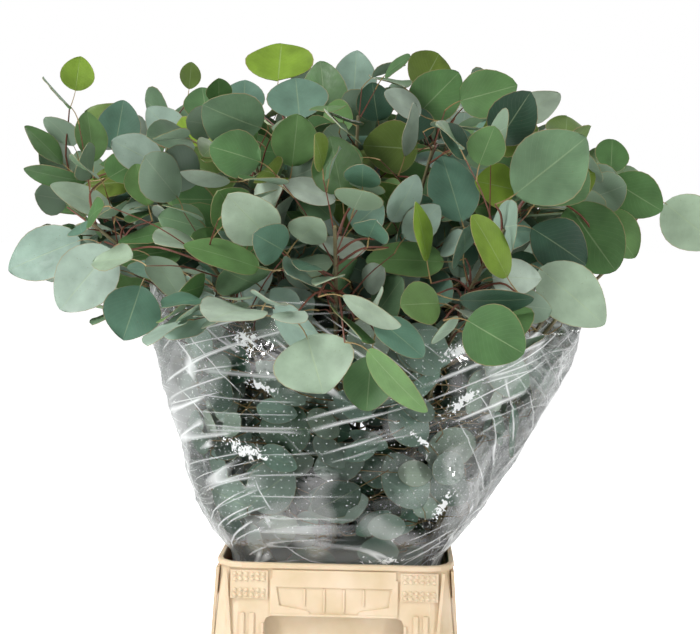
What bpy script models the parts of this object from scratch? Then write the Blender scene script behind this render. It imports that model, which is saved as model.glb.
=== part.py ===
"""A bunch of cut eucalyptus branches in a clear sleeve, standing in a trade bucket with its collar.

Metres, +Z up. The origin is the middle of the bucket's underside, and the front faces -Y."""

import math
import random

import bmesh
import bpy
from mathutils import Vector
from mathutils.bvhtree import BVHTree

# Collar: an open frame that widens towards the floor and carries the raised pads and ribs
COLLAR_HEIGHT = 0.260
COLLAR_TOP = (0.131, 0.181)
COLLAR_FOOT = (0.150, 0.200)
COLLAR_WALL = 0.003
COLLAR_CORNER = 0.028
RIM_PROUD = 0.003
RIM_DEEP = 0.0055
WINDOW_SILL = 0.060
WINDOW_HEAD = 0.201
WINDOW_CORNER = 0.008
WINDOW_HALF = {"front": 0.078, "side": 0.120}

# Bucket: the watertight tub inside the collar
BUCKET_HEIGHT = 0.225
BUCKET_TOP = (0.1245, 0.1745)
BUCKET_FOOT = (0.1065, 0.1565)
BUCKET_WALL = 0.003
BUCKET_FLOOR = 0.004
BUCKET_CORNER = 0.026
FLANGE_THICK = 0.004
FOOT_LIFT = 0.0009

CLEARANCE = 0.0003

# Sleeve: height, half width, half depth, sideways shift of its middle
SLEEVE_STATIONS = (
    (0.085, 0.0900, 0.1250, 0.000),
    (0.225, 0.1204, 0.1704, 0.000),
    (0.2615, 0.1272, 0.1772, 0.000),
    (0.290, 0.1520, 0.1980, 0.000),
    (0.335, 0.1840, 0.2140, 0.004),
    (0.385, 0.2150, 0.2270, 0.012),
    (0.435, 0.2380, 0.2400, 0.020),
    (0.500, 0.2560, 0.2520, 0.025),
    (0.600, 0.2640, 0.2580, 0.026),
)
SLEEVE_TOP = 0.545
SLEEVE_LIFT = 0.024
SLEEVE_FILM = 0.0011
SLEEVE_SECTORS = 18
NECK_SQUARENESS = 5.0
MOUTH_SQUARENESS = 2.2

# Branches: stems in each ring, foot radius, reach of the tip, height of the tip
SEED = 23
RINGS = (
    (4, 0.021, 0.085, 0.765),
    (7, 0.046, 0.200, 0.725),
    (11, 0.071, 0.300, 0.635),
)
BUCKET_DEEPER = 1.30
CROWN_WIDER = 1.10
CROWN_SHIFT = 0.015
CROWN_HALF = (0.400, 0.360)
CROWN_PEAK = (-0.08, 0.868)
CROWN_FALL = 0.70
LOWEST_OUTSIDE = 0.500
STEM_SEGMENTS = 7
STEM_RADIUS = (0.0048, 0.0021)
TWIG_RADIUS = (0.0021, 0.0017)
TWIG_REACH = (0.03, 0.24)
PRESSED_EACH = 3
TWIGS_EACH = 3
LEAF_THICK = 0.0009
PETIOLE_ROOT_HALF = 0.0006
PETIOLE_HALF = 0.0009
SPARE = 0.0016
GOLDEN_ANGLE = math.radians(137.5)
UP = Vector((0, 0, 1))
TO_VIEWER = Vector((0, -1, 0))

# Half width of a round blade along its length, as shares of its length and of its width
BLADE_OUTLINE = ((0.0, 0.0), (0.18, 0.37), (0.52, 0.50), (0.85, 0.33), (1.0, 0.0))
PLAIN_OUTLINE = ((0.0, 0.0), (0.24, 0.44), (0.72, 0.45), (1.0, 0.0))

# The front view that the leading leaves are read from: pixels, and the real distances that they stand for
VIEW_MIDDLE_PX = 350
VIEW_HORIZON_PX = 235
VIEW_FOCAL_PX = 1400
VIEW_ROLL = math.radians(0.87)
VIEW_YAW = math.radians(1.84)
VIEW_DISTANCE = 1.722
VIEW_HEIGHT = 0.6265
VIEW_SIDE = 0.0072

# Leading leaves: name, pixels where the blade meets its petiole and where it ends, depth, 1 where the tip
# comes towards the viewer or -1, turn about the midrib in degrees, length and width in millimetres
LEADING_LEAVES = (
    ("lone_upper_left", (72, 91), (80, 60), 0.00, 1, 15, 44, 42),
    ("left_blade", (60, 164), (28, 126), -0.02, 1, 52, 64, 36),
    ("left_low_blade", (83, 181), (23, 173), -0.05, 1, -55, 74, 42),
    ("left_pale", (112, 216), (54, 182), -0.07, 1, 50, 82, 44),
    ("hanging_left_outer", (78, 240), (6, 268), -0.08, 1, 20, 92, 70),
    ("hanging_left_middle", (109, 249), (60, 308), -0.13, 1, 10, 90, 74),
    ("hanging_left_inner", (139, 286), (127, 337), -0.17, 1, -10, 66, 66),
    ("left_rim_blade", (148, 256), (186, 297), -0.21, 1, -48, 64, 42),
    ("left_level_blade", (190, 228), (117, 238), -0.15, 1, 60, 84, 40),
    ("left_light_blade", (258, 268), (186, 241), -0.25, 1, 50, 82, 46),
    ("left_dark_round", (112, 150), (118, 98), 0.04, -1, 10, 68, 56),
    ("left_upright", (90, 162), (84, 110), -0.02, -1, 42, 64, 46),
    ("left_pale_round", (158, 166), (112, 140), -0.06, 1, 30, 64, 52),
    ("left_mid_upright", (146, 206), (132, 162), -0.12, -1, 32, 54, 44),
    ("pale_front_blade", (228, 182), (180, 176), -0.22, 1, -60, 54, 34),
    ("pale_centre_blade", (334, 200), (282, 183), -0.24, 1, 48, 60, 42),
    ("centre_round", (290, 167), (296, 117), -0.14, 1, 5, 60, 54),
    ("crown_notched", (275, 82), (275, 38), 0.10, -1, 0, 70, 90),
    ("crown_blue", (297, 120), (290, 74), 0.03, -1, 5, 66, 78),
    ("crown_green", (325, 126), (315, 60), 0.08, -1, -8, 86, 64),
    ("crown_back_pale", (350, 108), (352, 50), 0.16, -1, 0, 76, 60),
    ("crown_left_blue", (240, 117), (240, 77), 0.05, -1, 8, 56, 54),
    ("crown_left_green", (205, 122), (196, 84), 0.00, -1, 12, 54, 54),
    ("small_green", (216, 103), (218, 82), -0.04, 1, 20, 32, 32),
    ("small_olive", (186, 90), (188, 62), 0.06, -1, 20, 36, 28),
    ("grey_round", (178, 142), (146, 108), -0.02, 1, 15, 56, 46),
    ("crown_right_round", (412, 118), (455, 72), 0.05, -1, -5, 80, 66),
    ("crown_right_back", (415, 92), (436, 52), 0.14, -1, 10, 66, 66),
    ("dark_round", (375, 122), (368, 86), 0.00, 1, -20, 48, 48),
    ("olive_round", (415, 150), (361, 146), -0.12, 1, 5, 62, 62),
    ("blue_wide", (460, 222), (440, 154), -0.20, -1, 12, 78, 58),
    ("lime_round", (511, 190), (473, 182), -0.17, 1, 10, 50, 50),
    ("big_right", (512, 195), (580, 140), -0.26, 1, 5, 90, 80),
    ("right_two_tone", (529, 228), (584, 262), -0.20, 1, -25, 70, 66),
    ("right_big_green", (566, 206), (610, 270), -0.15, 1, 12, 88, 74),
    ("right_pale_behind", (600, 210), (630, 258), -0.08, 1, 20, 66, 52),
    ("right_far", (660, 203), (712, 246), -0.02, 1, 5, 82, 68),
    ("right_low", (538, 268), (603, 322), -0.24, 1, -12, 90, 66),
    ("front_olive", (467, 320), (522, 352), -0.31, 1, 5, 66, 64),
    ("right_lime_upright", (506, 277), (473, 215), -0.28, 1, 42, 76, 46),
    ("right_dark_level", (459, 300), (531, 302), -0.27, 1, 50, 76, 42),
    ("front_kite", (307, 337), (325, 390), -0.31, 1, 0, 62, 84),
    ("front_hanging_dark", (372, 356), (368, 408), -0.29, 1, 10, 58, 54),
    ("front_hanging_long", (368, 350), (424, 412), -0.33, 1, 48, 86, 44),
    ("front_low_pair", (378, 320), (424, 352), -0.31, 1, -40, 62, 40),
    ("front_pale_low", (342, 296), (398, 328), -0.29, 1, 55, 68, 38),
    ("centre_level", (443, 262), (366, 256), -0.21, 1, 42, 84, 52),
    ("lime_strip", (426, 261), (417, 202), -0.26, 1, 60, 64, 36),
    ("centre_pale_level", (365, 250), (315, 243), -0.25, 1, -52, 54, 38),
    ("upright_pale_right", (402, 157), (414, 106), -0.15, 1, 62, 60, 34),
    ("pale_top_right", (505, 120), (552, 100), -0.07, 1, 35, 66, 44),
    ("right_top_green", (606, 173), (610, 138), 0.01, -1, 10, 48, 44),
    ("right_glossy", (607, 180), (655, 212), -0.04, 1, 20, 70, 58),
    ("mauve_upright", (390, 222), (416, 178), -0.25, 1, 38, 56, 40),
    ("crown_right_green", (508, 128), (510, 90), 0.06, -1, 0, 62, 60),
    ("crown_right_low", (560, 146), (566, 113), 0.03, -1, 0, 56, 54),
    ("white_top", (417, 116), (383, 94), -0.06, 1, 35, 52, 38),
    ("green_top_middle", (413, 142), (410, 102), -0.03, -1, 12, 54, 50),
)

LEAF_GREEN = (0.16, 0.27, 0.17, 1)
CREAM = (0.86, 0.72, 0.52, 1)


# Empties the scene
for old in list(bpy.data.objects):
    bpy.data.objects.remove(old)


def between(low, high, share):
    return low + (high - low) * share


def finish_of(name, colour, roughness, alpha=1.0):
    material = bpy.data.materials.new(name)
    material.use_nodes = True
    shader = material.node_tree.nodes["Principled BSDF"]
    shader.inputs["Base Color"].default_value = colour
    shader.inputs["Roughness"].default_value = roughness
    shader.inputs["Metallic"].default_value = 0.0
    shader.inputs["Alpha"].default_value = alpha
    return material


def object_of(name, points, faces, material=None):
    """One closed mesh object with its faces pointing out."""
    mesh = bpy.data.meshes.new(name)
    shape = bmesh.new()
    corners = [shape.verts.new(p) for p in points]
    for face in faces:
        shape.faces.new([corners[i] for i in face])
    bmesh.ops.recalc_face_normals(shape, faces=shape.faces)
    shape.to_mesh(mesh)
    shape.free()
    made = bpy.data.objects.new(name, mesh)
    bpy.context.scene.collection.objects.link(made)
    if material:
        mesh.materials.append(material)
    return made


def joined(body, others, operation, solver="EXACT"):
    """Applies one Boolean of a collection's objects on body, then removes them."""
    group = bpy.data.collections.new(body.name + "_group")
    bpy.context.scene.collection.children.link(group)
    for other in others:
        bpy.context.scene.collection.objects.unlink(other)
        group.objects.link(other)
    boolean = body.modifiers.new("join", "BOOLEAN")
    boolean.operation = operation
    boolean.operand_type = "COLLECTION"
    boolean.collection = group
    boolean.solver = solver
    graph = bpy.context.evaluated_depsgraph_get()
    result = bpy.data.meshes.new_from_object(body.evaluated_get(graph))
    body.modifiers.clear()
    body.data = result
    for other in others:
        bpy.data.objects.remove(other)
    bpy.data.collections.remove(group)
    return body


# Plastic shells of rounded rectangles


def rounded_rectangle(half, radius, height, steps=3):
    points = []
    for corner, (side_x, side_y) in enumerate(((1, 1), (-1, 1), (-1, -1), (1, -1))):
        for step in range(steps + 1):
            angle = math.radians(90 * (corner + step / steps))
            x = side_x * (half[0] - radius) + radius * math.cos(angle)
            y = side_y * (half[1] - radius) + radius * math.sin(angle)
            points.append(Vector((x, y, height)))
    return points


def loft(loops, ring, turned=None):
    """Points and faces of a skin through loops, closed into a ring or capped at both ends.

    From the turned loop on, quads are split along their other diagonal, so that a thin wall's two sides match.
    """
    count = len(loops[0])
    points = [p for loop in loops for p in loop]
    faces = []
    spans = len(loops) if ring else len(loops) - 1
    for k in range(spans):
        low = k * count
        high = ((k + 1) % len(loops)) * count
        for i in range(count):
            j = (i + 1) % count
            if turned is not None and k >= turned:
                faces += [(low + i, low + j, high + i), (low + j, high + j, high + i)]
            else:
                faces += [(low + i, low + j, high + j), (low + i, high + j, high + i)]
    if not ring:
        faces.append(tuple(reversed(range(count))))
        faces.append(tuple(range((len(loops) - 1) * count, len(loops) * count)))
    return points, faces


def grown(half, amount):
    return (half[0] + amount, half[1] + amount)


def collar_half(height):
    """Outer half width and half depth of the collar at a height."""
    share = height / COLLAR_HEIGHT
    return (
        between(COLLAR_FOOT[0], COLLAR_TOP[0], share),
        between(COLLAR_FOOT[1], COLLAR_TOP[1], share),
    )


def collar_loop(height, amount):
    return rounded_rectangle(grown(collar_half(height), amount), COLLAR_CORNER + amount, height)


def collar_shell():
    lip = COLLAR_HEIGHT - RIM_DEEP
    crest = COLLAR_HEIGHT - 0.0012
    loops = [
        collar_loop(0, 0),
        collar_loop(lip, 0),
        collar_loop(lip, RIM_PROUD),
        collar_loop(crest, RIM_PROUD),
        collar_loop(COLLAR_HEIGHT, RIM_PROUD - 0.0012),
        collar_loop(COLLAR_HEIGHT, 0.0008 - COLLAR_WALL),
        collar_loop(crest, -COLLAR_WALL),
        collar_loop(0, -COLLAR_WALL),
    ]
    return loft(loops, True)


def window_cutter(face):
    """A rounded prism that cuts the window of one face and of the face opposite."""
    half = WINDOW_HALF[face]
    middle = (WINDOW_SILL + WINDOW_HEAD) / 2
    flat = rounded_rectangle((half, (WINDOW_HEAD - WINDOW_SILL) / 2), WINDOW_CORNER, 0, 2)
    reach = 0.3
    if face == "front":
        loops = [[Vector((p.x, y, middle + p.y)) for p in flat] for y in (-reach, reach)]
    else:
        loops = [[Vector((x, p.x, middle + p.y)) for p in flat] for x in (-reach, reach)]
    return object_of("window_" + face, *loft(loops, False))


def wall_plate(face, outline, proud):
    """A raised plate on one of the collar's sloping walls, from (across, down) points measured from the
    middle of the rim, sunk halfway into the wall."""
    across, out = {
        "front": (Vector((1, 0, 0)), Vector((0, -1, 0))),
        "back": (Vector((-1, 0, 0)), Vector((0, 1, 0))),
        "right": (Vector((0, 1, 0)), Vector((1, 0, 0))),
        "left": (Vector((0, -1, 0)), Vector((-1, 0, 0))),
    }[face]
    level = 1 if face in ("front", "back") else 0
    top = out * COLLAR_TOP[level] + UP * COLLAR_HEIGHT
    down = (out * COLLAR_FOOT[level] - top).normalized()
    normal = down.cross(across)
    layers = [
        [top + across * a + down * d + normal * level_out for a, d in outline]
        for level_out in (-COLLAR_WALL / 2, proud)
    ]
    return object_of("plate", *loft(layers, False))


def bar(left, right, high, low):
    return ((left, high), (right, high), (right, low), (left, low))


def mirrored(outline):
    return tuple((-a, d) for a, d in outline)


PAD = bar(-0.1160, -0.0740, 0.0085, 0.0400)
CORNER_RIB = ((-0.1235, 0.0080), (-0.1200, 0.0080), (-0.1080, 0.1600), (-0.1115, 0.1600))
FOOT_RIBS = (bar(-0.1050, -0.1000, 0.0560, 0.1500), bar(-0.0940, -0.0890, 0.0560, 0.1500))
HEADER = bar(-0.0690, 0.0690, 0.0075, 0.0265)
L_FRAME = (
    (-0.0710, 0.0170),
    (-0.0680, 0.0170),
    (-0.0645, 0.0270),
    (-0.0610, 0.0470),
    (-0.0290, 0.0525),
    (-0.0265, 0.0560),
    (-0.0710, 0.0560),
)
RIB_PITCH = 0.0110
PLATE_PROUD = 0.0020
RIB_PROUD = 0.0012
LIP_PROUD = 0.0024
LIP_WIDE = 0.0030


def window_lip(half):
    """Four bars round a window, as (across, down) outlines on its wall."""
    head = COLLAR_HEIGHT - WINDOW_HEAD
    sill = COLLAR_HEIGHT - WINDOW_SILL
    side_top = head + WINDOW_CORNER
    side_low = sill - WINDOW_CORNER
    return (
        bar(WINDOW_CORNER - half, half - WINDOW_CORNER, head - LIP_WIDE, head - 0.0004),
        bar(WINDOW_CORNER - half, half - WINDOW_CORNER, sill + 0.0012, sill + LIP_WIDE),
        bar(-half - LIP_WIDE, -half - 0.0004, side_top, side_low),
        bar(half + 0.0004, half + LIP_WIDE, side_top, side_low),
    )


def raised_plates():
    plates = []
    for face in ("front", "back"):
        for outline in (PAD, CORNER_RIB, L_FRAME, *FOOT_RIBS):
            plates.append(wall_plate(face, outline, PLATE_PROUD))
            plates.append(wall_plate(face, mirrored(outline), PLATE_PROUD))
        plates.append(wall_plate(face, HEADER, PLATE_PROUD))
        for rib in (-3, -1, 1, 3):
            middle = rib * RIB_PITCH
            low = 0.0535 if abs(rib) < 2 else 0.0465
            plates.append(wall_plate(face, bar(middle - 0.001, middle + 0.001, 0.0280, low), RIB_PROUD))
        for outline in window_lip(WINDOW_HALF["front"]):
            plates.append(wall_plate(face, outline, LIP_PROUD))
    step = COLLAR_TOP[1] - COLLAR_TOP[0]
    for face in ("left", "right"):
        for outline in (PAD, CORNER_RIB):
            moved = tuple((a - step, d) for a, d in outline)
            plates.append(wall_plate(face, moved, PLATE_PROUD))
            plates.append(wall_plate(face, mirrored(moved), PLATE_PROUD))
        for outline in window_lip(WINDOW_HALF["side"]):
            plates.append(wall_plate(face, outline, LIP_PROUD))
    return plates


def make_collar(cream):
    collar = object_of("collar", *collar_shell(), cream)
    joined(collar, [window_cutter("front"), window_cutter("side")], "DIFFERENCE")
    return joined(collar, raised_plates(), "UNION")


def bucket_half(height, inset=0.0):
    share = height / BUCKET_HEIGHT
    return (
        between(BUCKET_FOOT[0], BUCKET_TOP[0], share) - inset,
        between(BUCKET_FOOT[1], BUCKET_TOP[1], share) - inset,
    )


def bucket_loop(height, inset=0.0):
    return rounded_rectangle(bucket_half(height, inset), BUCKET_CORNER - inset, height)


def make_bucket(cream):
    flange_low = BUCKET_HEIGHT - FLANGE_THICK
    seat = grown(collar_half(BUCKET_HEIGHT), -COLLAR_WALL - CLEARANCE)
    seat_corner = COLLAR_CORNER - COLLAR_WALL - CLEARANCE
    loops = [
        bucket_loop(0),
        bucket_loop(flange_low),
        rounded_rectangle(seat, seat_corner, flange_low),
        rounded_rectangle(seat, seat_corner, BUCKET_HEIGHT),
        bucket_loop(BUCKET_HEIGHT, BUCKET_WALL),
        bucket_loop(BUCKET_FLOOR, BUCKET_WALL),
    ]
    return object_of("bucket", *loft(loops, False), cream)


# Sleeve of clear film


def sleeve_size(height):
    """Half width, half depth and sideways shift of the sleeve at a height."""
    for low, high in zip(SLEEVE_STATIONS, SLEEVE_STATIONS[1:]):
        if height <= high[0]:
            share = (height - low[0]) / (high[0] - low[0])
            return [between(a, b, share) for a, b in zip(low[1:], high[1:])]
    return list(SLEEVE_STATIONS[-1][1:])


def sleeve_mouth(angle):
    """Height of the sleeve's open edge, highest at the left."""
    return SLEEVE_TOP - SLEEVE_LIFT * math.cos(angle) + 0.006 * math.sin(3 * angle)


def sleeve_point(angle, height, inset=0.0):
    half_x, half_y, shift = sleeve_size(height)
    open_share = min(max((height - 0.26) / 0.12, 0), 1)
    power = 2 / between(NECK_SQUARENESS, MOUTH_SQUARENESS, open_share)
    ripple = 1 + open_share * (0.012 * math.sin(5 * angle + 1) + 0.009 * math.sin(9 * angle + 30 * height))
    c, s = math.cos(angle), math.sin(angle)
    x = math.copysign(abs(c) ** power, c) * (half_x - inset) * ripple
    y = math.copysign(abs(s) ** power, s) * (half_y - inset) * ripple
    return Vector((x + shift, y, height))


def sleeve_skin():
    """Outer loops from the hem up to the mouth, then inner loops back down."""
    angles = [math.tau * k / SLEEVE_SECTORS for k in range(SLEEVE_SECTORS)]
    fixed = [station[0] for station in SLEEVE_STATIONS[:-2]]
    rows = [[(a, h) for a in angles] for h in fixed]
    for share in (0.5, 1.0):
        rows.append([(a, between(fixed[-1], sleeve_mouth(a), share)) for a in angles])
    loops = []
    for rows_in_order, inset in ((rows, -SLEEVE_FILM * 0.3), (reversed(rows), SLEEVE_FILM * 0.7)):
        for row in rows_in_order:
            loops.append([sleeve_point(a, h, inset) for a, h in row])
    return loft(loops, True, len(rows))


# Growth: stems, twigs and leaves, each turned or bent until it is clear of all that stands already

draw = random.Random(SEED)
standing = []


def stem_path(ring_row, turn, spread, rise):
    """Four points of the curve that a stem follows from the bucket's floor to its tip."""
    foot_radius, reach, tip_height = ring_row
    c, s = math.cos(turn), math.sin(turn)
    tip = Vector((CROWN_SHIFT + reach * c * CROWN_WIDER, reach * s, tip_height))
    foot = Vector((foot_radius * c, foot_radius * s * BUCKET_DEEPER, BUCKET_FLOOR + FOOT_LIFT))
    return (
        foot,
        Vector((foot.x * 1.15, foot.y * 1.15, 0.24)),
        Vector((tip.x * spread, tip.y * spread, between(foot.z, tip.z, rise))),
        tip,
    )


def along_curve(path, share):
    a, b, c, d = path
    rest = 1 - share
    return a * rest**3 + b * 3 * rest * rest * share + c * 3 * rest * share * share + d * share**3


def on_stem(path, share):
    """The point on the middle line of the stem's straight stretches."""
    stretch = min(int(share * STEM_SEGMENTS), STEM_SEGMENTS - 1)
    low, high = (along_curve(path, (stretch + e) / STEM_SEGMENTS) for e in (0, 1))
    return low.lerp(high, share * STEM_SEGMENTS - stretch)


def square_to(direction, vector):
    return (vector - direction * vector.dot(direction)).normalized()


def tube(points, radii, sides, turn):
    """Points and faces of a closed tube through points, carried along without a twist."""
    rings = []
    side = (points[1] - points[0]).orthogonal()
    for k, p in enumerate(points):
        ahead = (points[min(k + 1, len(points) - 1)] - points[max(k - 1, 0)]).normalized()
        side = square_to(ahead, side)
        other = ahead.cross(side)
        loop = []
        for i in range(sides):
            angle = turn + math.tau * i / sides
            loop.append(p + (side * math.cos(angle) + other * math.sin(angle)) * radii[k])
        rings.append(loop)
    return loft(rings, False)


def stem_solid(path, spare=0.0):
    shares = [k / STEM_SEGMENTS for k in range(STEM_SEGMENTS + 1)]
    radii = [between(*STEM_RADIUS, t) + spare for t in shares]
    return tube([along_curve(path, t) for t in shares], radii, 4, 0.4)


def twig_solid(points, spare=0.0):
    """A twig that runs a little past its last point, where the petiole of its end leaf is rooted."""
    radii = [between(*TWIG_RADIUS, k / (len(points) - 1)) + spare for k in range(len(points))]
    end = points[-1] + (points[-1] - points[-2]).normalized() * TWIG_RADIUS[1]
    return tube([*points[:-1], end], radii, 3, 0.9)


def blade_half(leaf, share):
    for low, high in zip(leaf["outline"], leaf["outline"][1:]):
        if share <= high[0]:
            return between(low[1], high[1], (share - low[0]) / (high[0] - low[0]))
    return 0.0


def blade_point(leaf, share, side):
    """Middle of the blade's thickness, at a share of its length and a side from -1 to 1."""
    half = leaf["width"] * blade_half(leaf, share) * side
    rise = leaf["fold"] * abs(half) - leaf["arch"] * leaf["length"] * share * share
    middle = leaf["base"] + leaf["along"] * (leaf["length"] * share)
    return middle + leaf["across"] * half + leaf["face"] * rise


def leaf_rows(leaf, thick):
    """Rows of (left, right, half thickness) from the petiole's root to the tip."""
    stalk = (leaf["base"] - leaf["root"]).normalized()
    side = square_to(stalk, leaf["across"]) * PETIOLE_ROOT_HALF
    half = thick / 2
    rows = [(leaf["root"] - side, leaf["root"] + side, stalk.cross(side).normalized() * half)]
    bend = (stalk + leaf["along"]).normalized()
    side = square_to(bend, leaf["across"]) * PETIOLE_HALF
    mitre = min(1 / max(bend.dot(stalk), 0.1), 1.8)
    rows.append((leaf["base"] - side, leaf["base"] + side, bend.cross(side).normalized() * half * mitre))
    for share, _ in leaf["outline"][1:-1]:
        rows.append((blade_point(leaf, share, -1), blade_point(leaf, share, 1), leaf["face"] * half))
    tip = blade_point(leaf, 1, 0)
    rows.append((tip, tip, leaf["face"] * half))
    return rows


def plate_solid(rows):
    """A thin plate through rows that end in a point, split alike on both faces."""
    flat = [(p, up) for left, right, up in rows[:-1] for p in (left, right)] + [(rows[-1][0], rows[-1][2])]
    points = [p + up for p, up in flat] + [p - up for p, up in flat]
    below = len(flat)
    last = 2 * len(rows) - 4
    top = []
    for k in range(0, last, 2):
        top += [(k, k + 1, k + 3), (k, k + 3, k + 2)]
    top.append((last, last + 1, last + 2))
    edge = [*range(0, last + 1, 2), last + 2, *range(last + 1, 0, -2)]
    faces = list(top) + [tuple(i + below for i in reversed(f)) for f in top]
    for i, j in zip(edge, edge[1:] + edge[:1]):
        faces += [(i, j, j + below), (i, j + below, i + below)]
    return points, faces


def leaf_solid(leaf, thick=LEAF_THICK):
    return plate_solid(leaf_rows(leaf, thick))


def blade_solid(leaf, thick):
    return plate_solid(leaf_rows(leaf, thick)[1:])


def ball_of(points):
    middle = sum(points, Vector()) / len(points)
    return middle, max((p - middle).length for p in points)


def is_clear(points, faces, passing=()):
    """True if this solid touches nothing that stands already, apart from what belongs to passing."""
    middle, radius = ball_of(points)
    tree = None
    for owner, other_middle, other_radius, other_tree in standing:
        if owner in passing or (middle - other_middle).length > radius + other_radius:
            continue
        tree = tree or BVHTree.FromPolygons(points, faces)
        if tree.overlap(other_tree):
            return False
    return True


def stand(owner, points, faces):
    middle, radius = ball_of(points)
    standing.append((owner, middle, radius, BVHTree.FromPolygons(points, faces)))


def stand_stem(number, path):
    """Keeps a stem in short stretches, so that far ones are passed over quickly."""
    for k in range(STEM_SEGMENTS):
        ends = [along_curve(path, (k + e) / STEM_SEGMENTS) for e in (0, 1)]
        stand(("stem", number), *tube(ends, [between(*STEM_RADIUS, k / STEM_SEGMENTS)] * 2, 4, 0.4))


def seen_at(pixel, depth):
    """The point at a depth that shows at a pixel of the front view."""
    right = pixel[0] - VIEW_MIDDLE_PX
    down = pixel[1] - VIEW_HORIZON_PX - right * math.sin(VIEW_ROLL)
    scale = (VIEW_DISTANCE + depth) / VIEW_FOCAL_PX
    middle = VIEW_SIDE - depth * math.tan(VIEW_YAW)
    return Vector((middle + right * scale, depth, VIEW_HEIGHT - down * scale))


def leading_leaf(row, shift):
    """A leaf laid out from its row of the front view, shifted a little in depth."""
    name, base_px, tip_px, depth, toward, roll, length, width = row
    base = seen_at(base_px, depth + shift)
    flat = seen_at(tip_px, depth + shift) - base
    length = max(length / 1000, flat.length * 1.01)
    tilt = math.acos(flat.length / length)
    along = flat.normalized() * math.cos(tilt) + TO_VIEWER * (toward * math.sin(tilt))
    face = (TO_VIEWER - along * TO_VIEWER.dot(along)).normalized()
    turn = math.radians(roll)
    face = (face * math.cos(turn) + along.cross(face) * math.sin(turn)).normalized()
    droop = Vector((0, 0.35, -0.25 if along.z > -0.3 else 0.5))
    stalk = (along + droop).normalized()
    return {
        "name": name, "base": base, "root": base - stalk * 0.024, "along": along, "face": face,
        "across": face.cross(along), "length": length, "width": width / 1000,
        "arch": 0.08, "fold": 0.10, "outline": BLADE_OUTLINE,
    }


def twig_to(path, share, root, lift=0.35):
    """Three points of a twig that leaves a stem at a share of its curve and ends at a petiole's root."""
    start = on_stem(path, share)
    ahead = (along_curve(path, min(share + 0.05, 1)) - along_curve(path, share - 0.05)).normalized()
    gap = root - start
    middle = start + gap * 0.5 + ahead * (gap.length * lift * 0.5)
    return [start, middle, root]


def carriers_for(root, paths):
    """Stems and shares that could carry a twig to root, best first."""
    found = []
    for number, path in enumerate(paths):
        for step in range(18):
            share = 0.48 + 0.03 * step
            start = along_curve(path, share)
            gap = (root - start).length
            if TWIG_REACH[0] < gap < TWIG_REACH[1]:
                found.append((gap + 0.6 * max(0.0, start.z - root.z + 0.01), number, share))
    return [(number, share) for _, number, share in sorted(found)]


def add_leaf(plan, number, leaf):
    plan[number]["leaves"].append(leaf)
    stand(("leaf", number), *leaf_solid(leaf, LEAF_THICK + 2 * CLEARANCE))


def add_twig(plan, number, points):
    plan[number]["twigs"].append(points)
    stand(("twig", number), *twig_solid(points))


def grow_leading(plan, paths):
    """Leading leaves come first, each on a twig of its own from the nearest stem that can reach it."""
    missed = []
    for row in LEADING_LEAVES:
        done = False
        for shift in (0, -0.012, 0.012, -0.024, 0.024, -0.04, 0.04, 0.06):
            leaf = leading_leaf(row, shift)
            if not is_clear(*leaf_solid(leaf, SPARE * 2)):
                continue
            for number, share in carriers_for(leaf["root"], paths)[:40]:
                points = twig_to(paths[number], share, leaf["root"])
                if is_clear(*twig_solid(points, SPARE / 2), passing={("stem", number), ("twig", number)}):
                    add_twig(plan, number, points)
                    add_leaf(plan, number, leaf)
                    done = True
                    break
            if done:
                break
        if not done:
            missed.append(row[0])
    return missed


def hides_leading(leaf, plan):
    """True if a leaf would hang in front of a leading one."""
    middle = leaf["base"] + leaf["along"] * (leaf["length"] / 2)
    for stem in plan:
        for other in stem["leaves"]:
            if "name" not in other:
                continue
            apart = other["base"] + other["along"] * (other["length"] / 2) - middle
            near = 0.5 * (leaf["width"] + other["width"])
            if apart.y > 0 and math.hypot(apart.x, apart.z) < near * 0.85:
                return True
    return False


def free_leaf(root, heading, outward, size, stalk_length):
    """A leaf on a petiole that starts at root: its blade droops a little, and its face turns outward and up."""
    stalk = (heading + Vector([draw.uniform(-0.25, 0.25) for _ in range(3)])).normalized()
    base = root + stalk * stalk_length
    along = (stalk + Vector((0, 0, -0.25)) + outward * 0.15).normalized()
    face = outward * draw.uniform(0.2, 1.0) + UP * draw.uniform(-0.1, 0.9)
    face += Vector([draw.uniform(-0.6, 0.6) for _ in range(3)])
    face = (face - along * face.dot(along)).normalized()
    return {
        "base": base, "root": root, "along": along, "face": face, "across": face.cross(along),
        "length": size, "width": size * draw.uniform(0.78, 1.02), "arch": draw.uniform(0.02, 0.20),
        "fold": draw.uniform(0.02, 0.22), "outline": PLAIN_OUTLINE,
    }


def inside_crown(point):
    """True under the crown's outline, which peaks left of the middle and falls away to both sides."""
    aside = point.x - CROWN_PEAK[0]
    level = math.hypot((point.x - CROWN_SHIFT) / CROWN_HALF[0], point.y / CROWN_HALF[1])
    return level < 1 and point.z < CROWN_PEAK[1] - CROWN_FALL * aside * aside


def lowest_outside(x):
    """How low a leaf may hang outside the film: lowest in the middle, and higher on the right."""
    return LOWEST_OUTSIDE + max(abs(x) - 0.2, 0) * (1.0 if x > 0 else 0.25)


def bends_gently(leaf):
    """True if the petiole meets the blade at no sharp turn."""
    stalk = (leaf["base"] - leaf["root"]).normalized()
    return stalk.dot(leaf["along"]) > -0.1 and abs(stalk.dot(leaf["across"])) < 0.35


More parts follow.
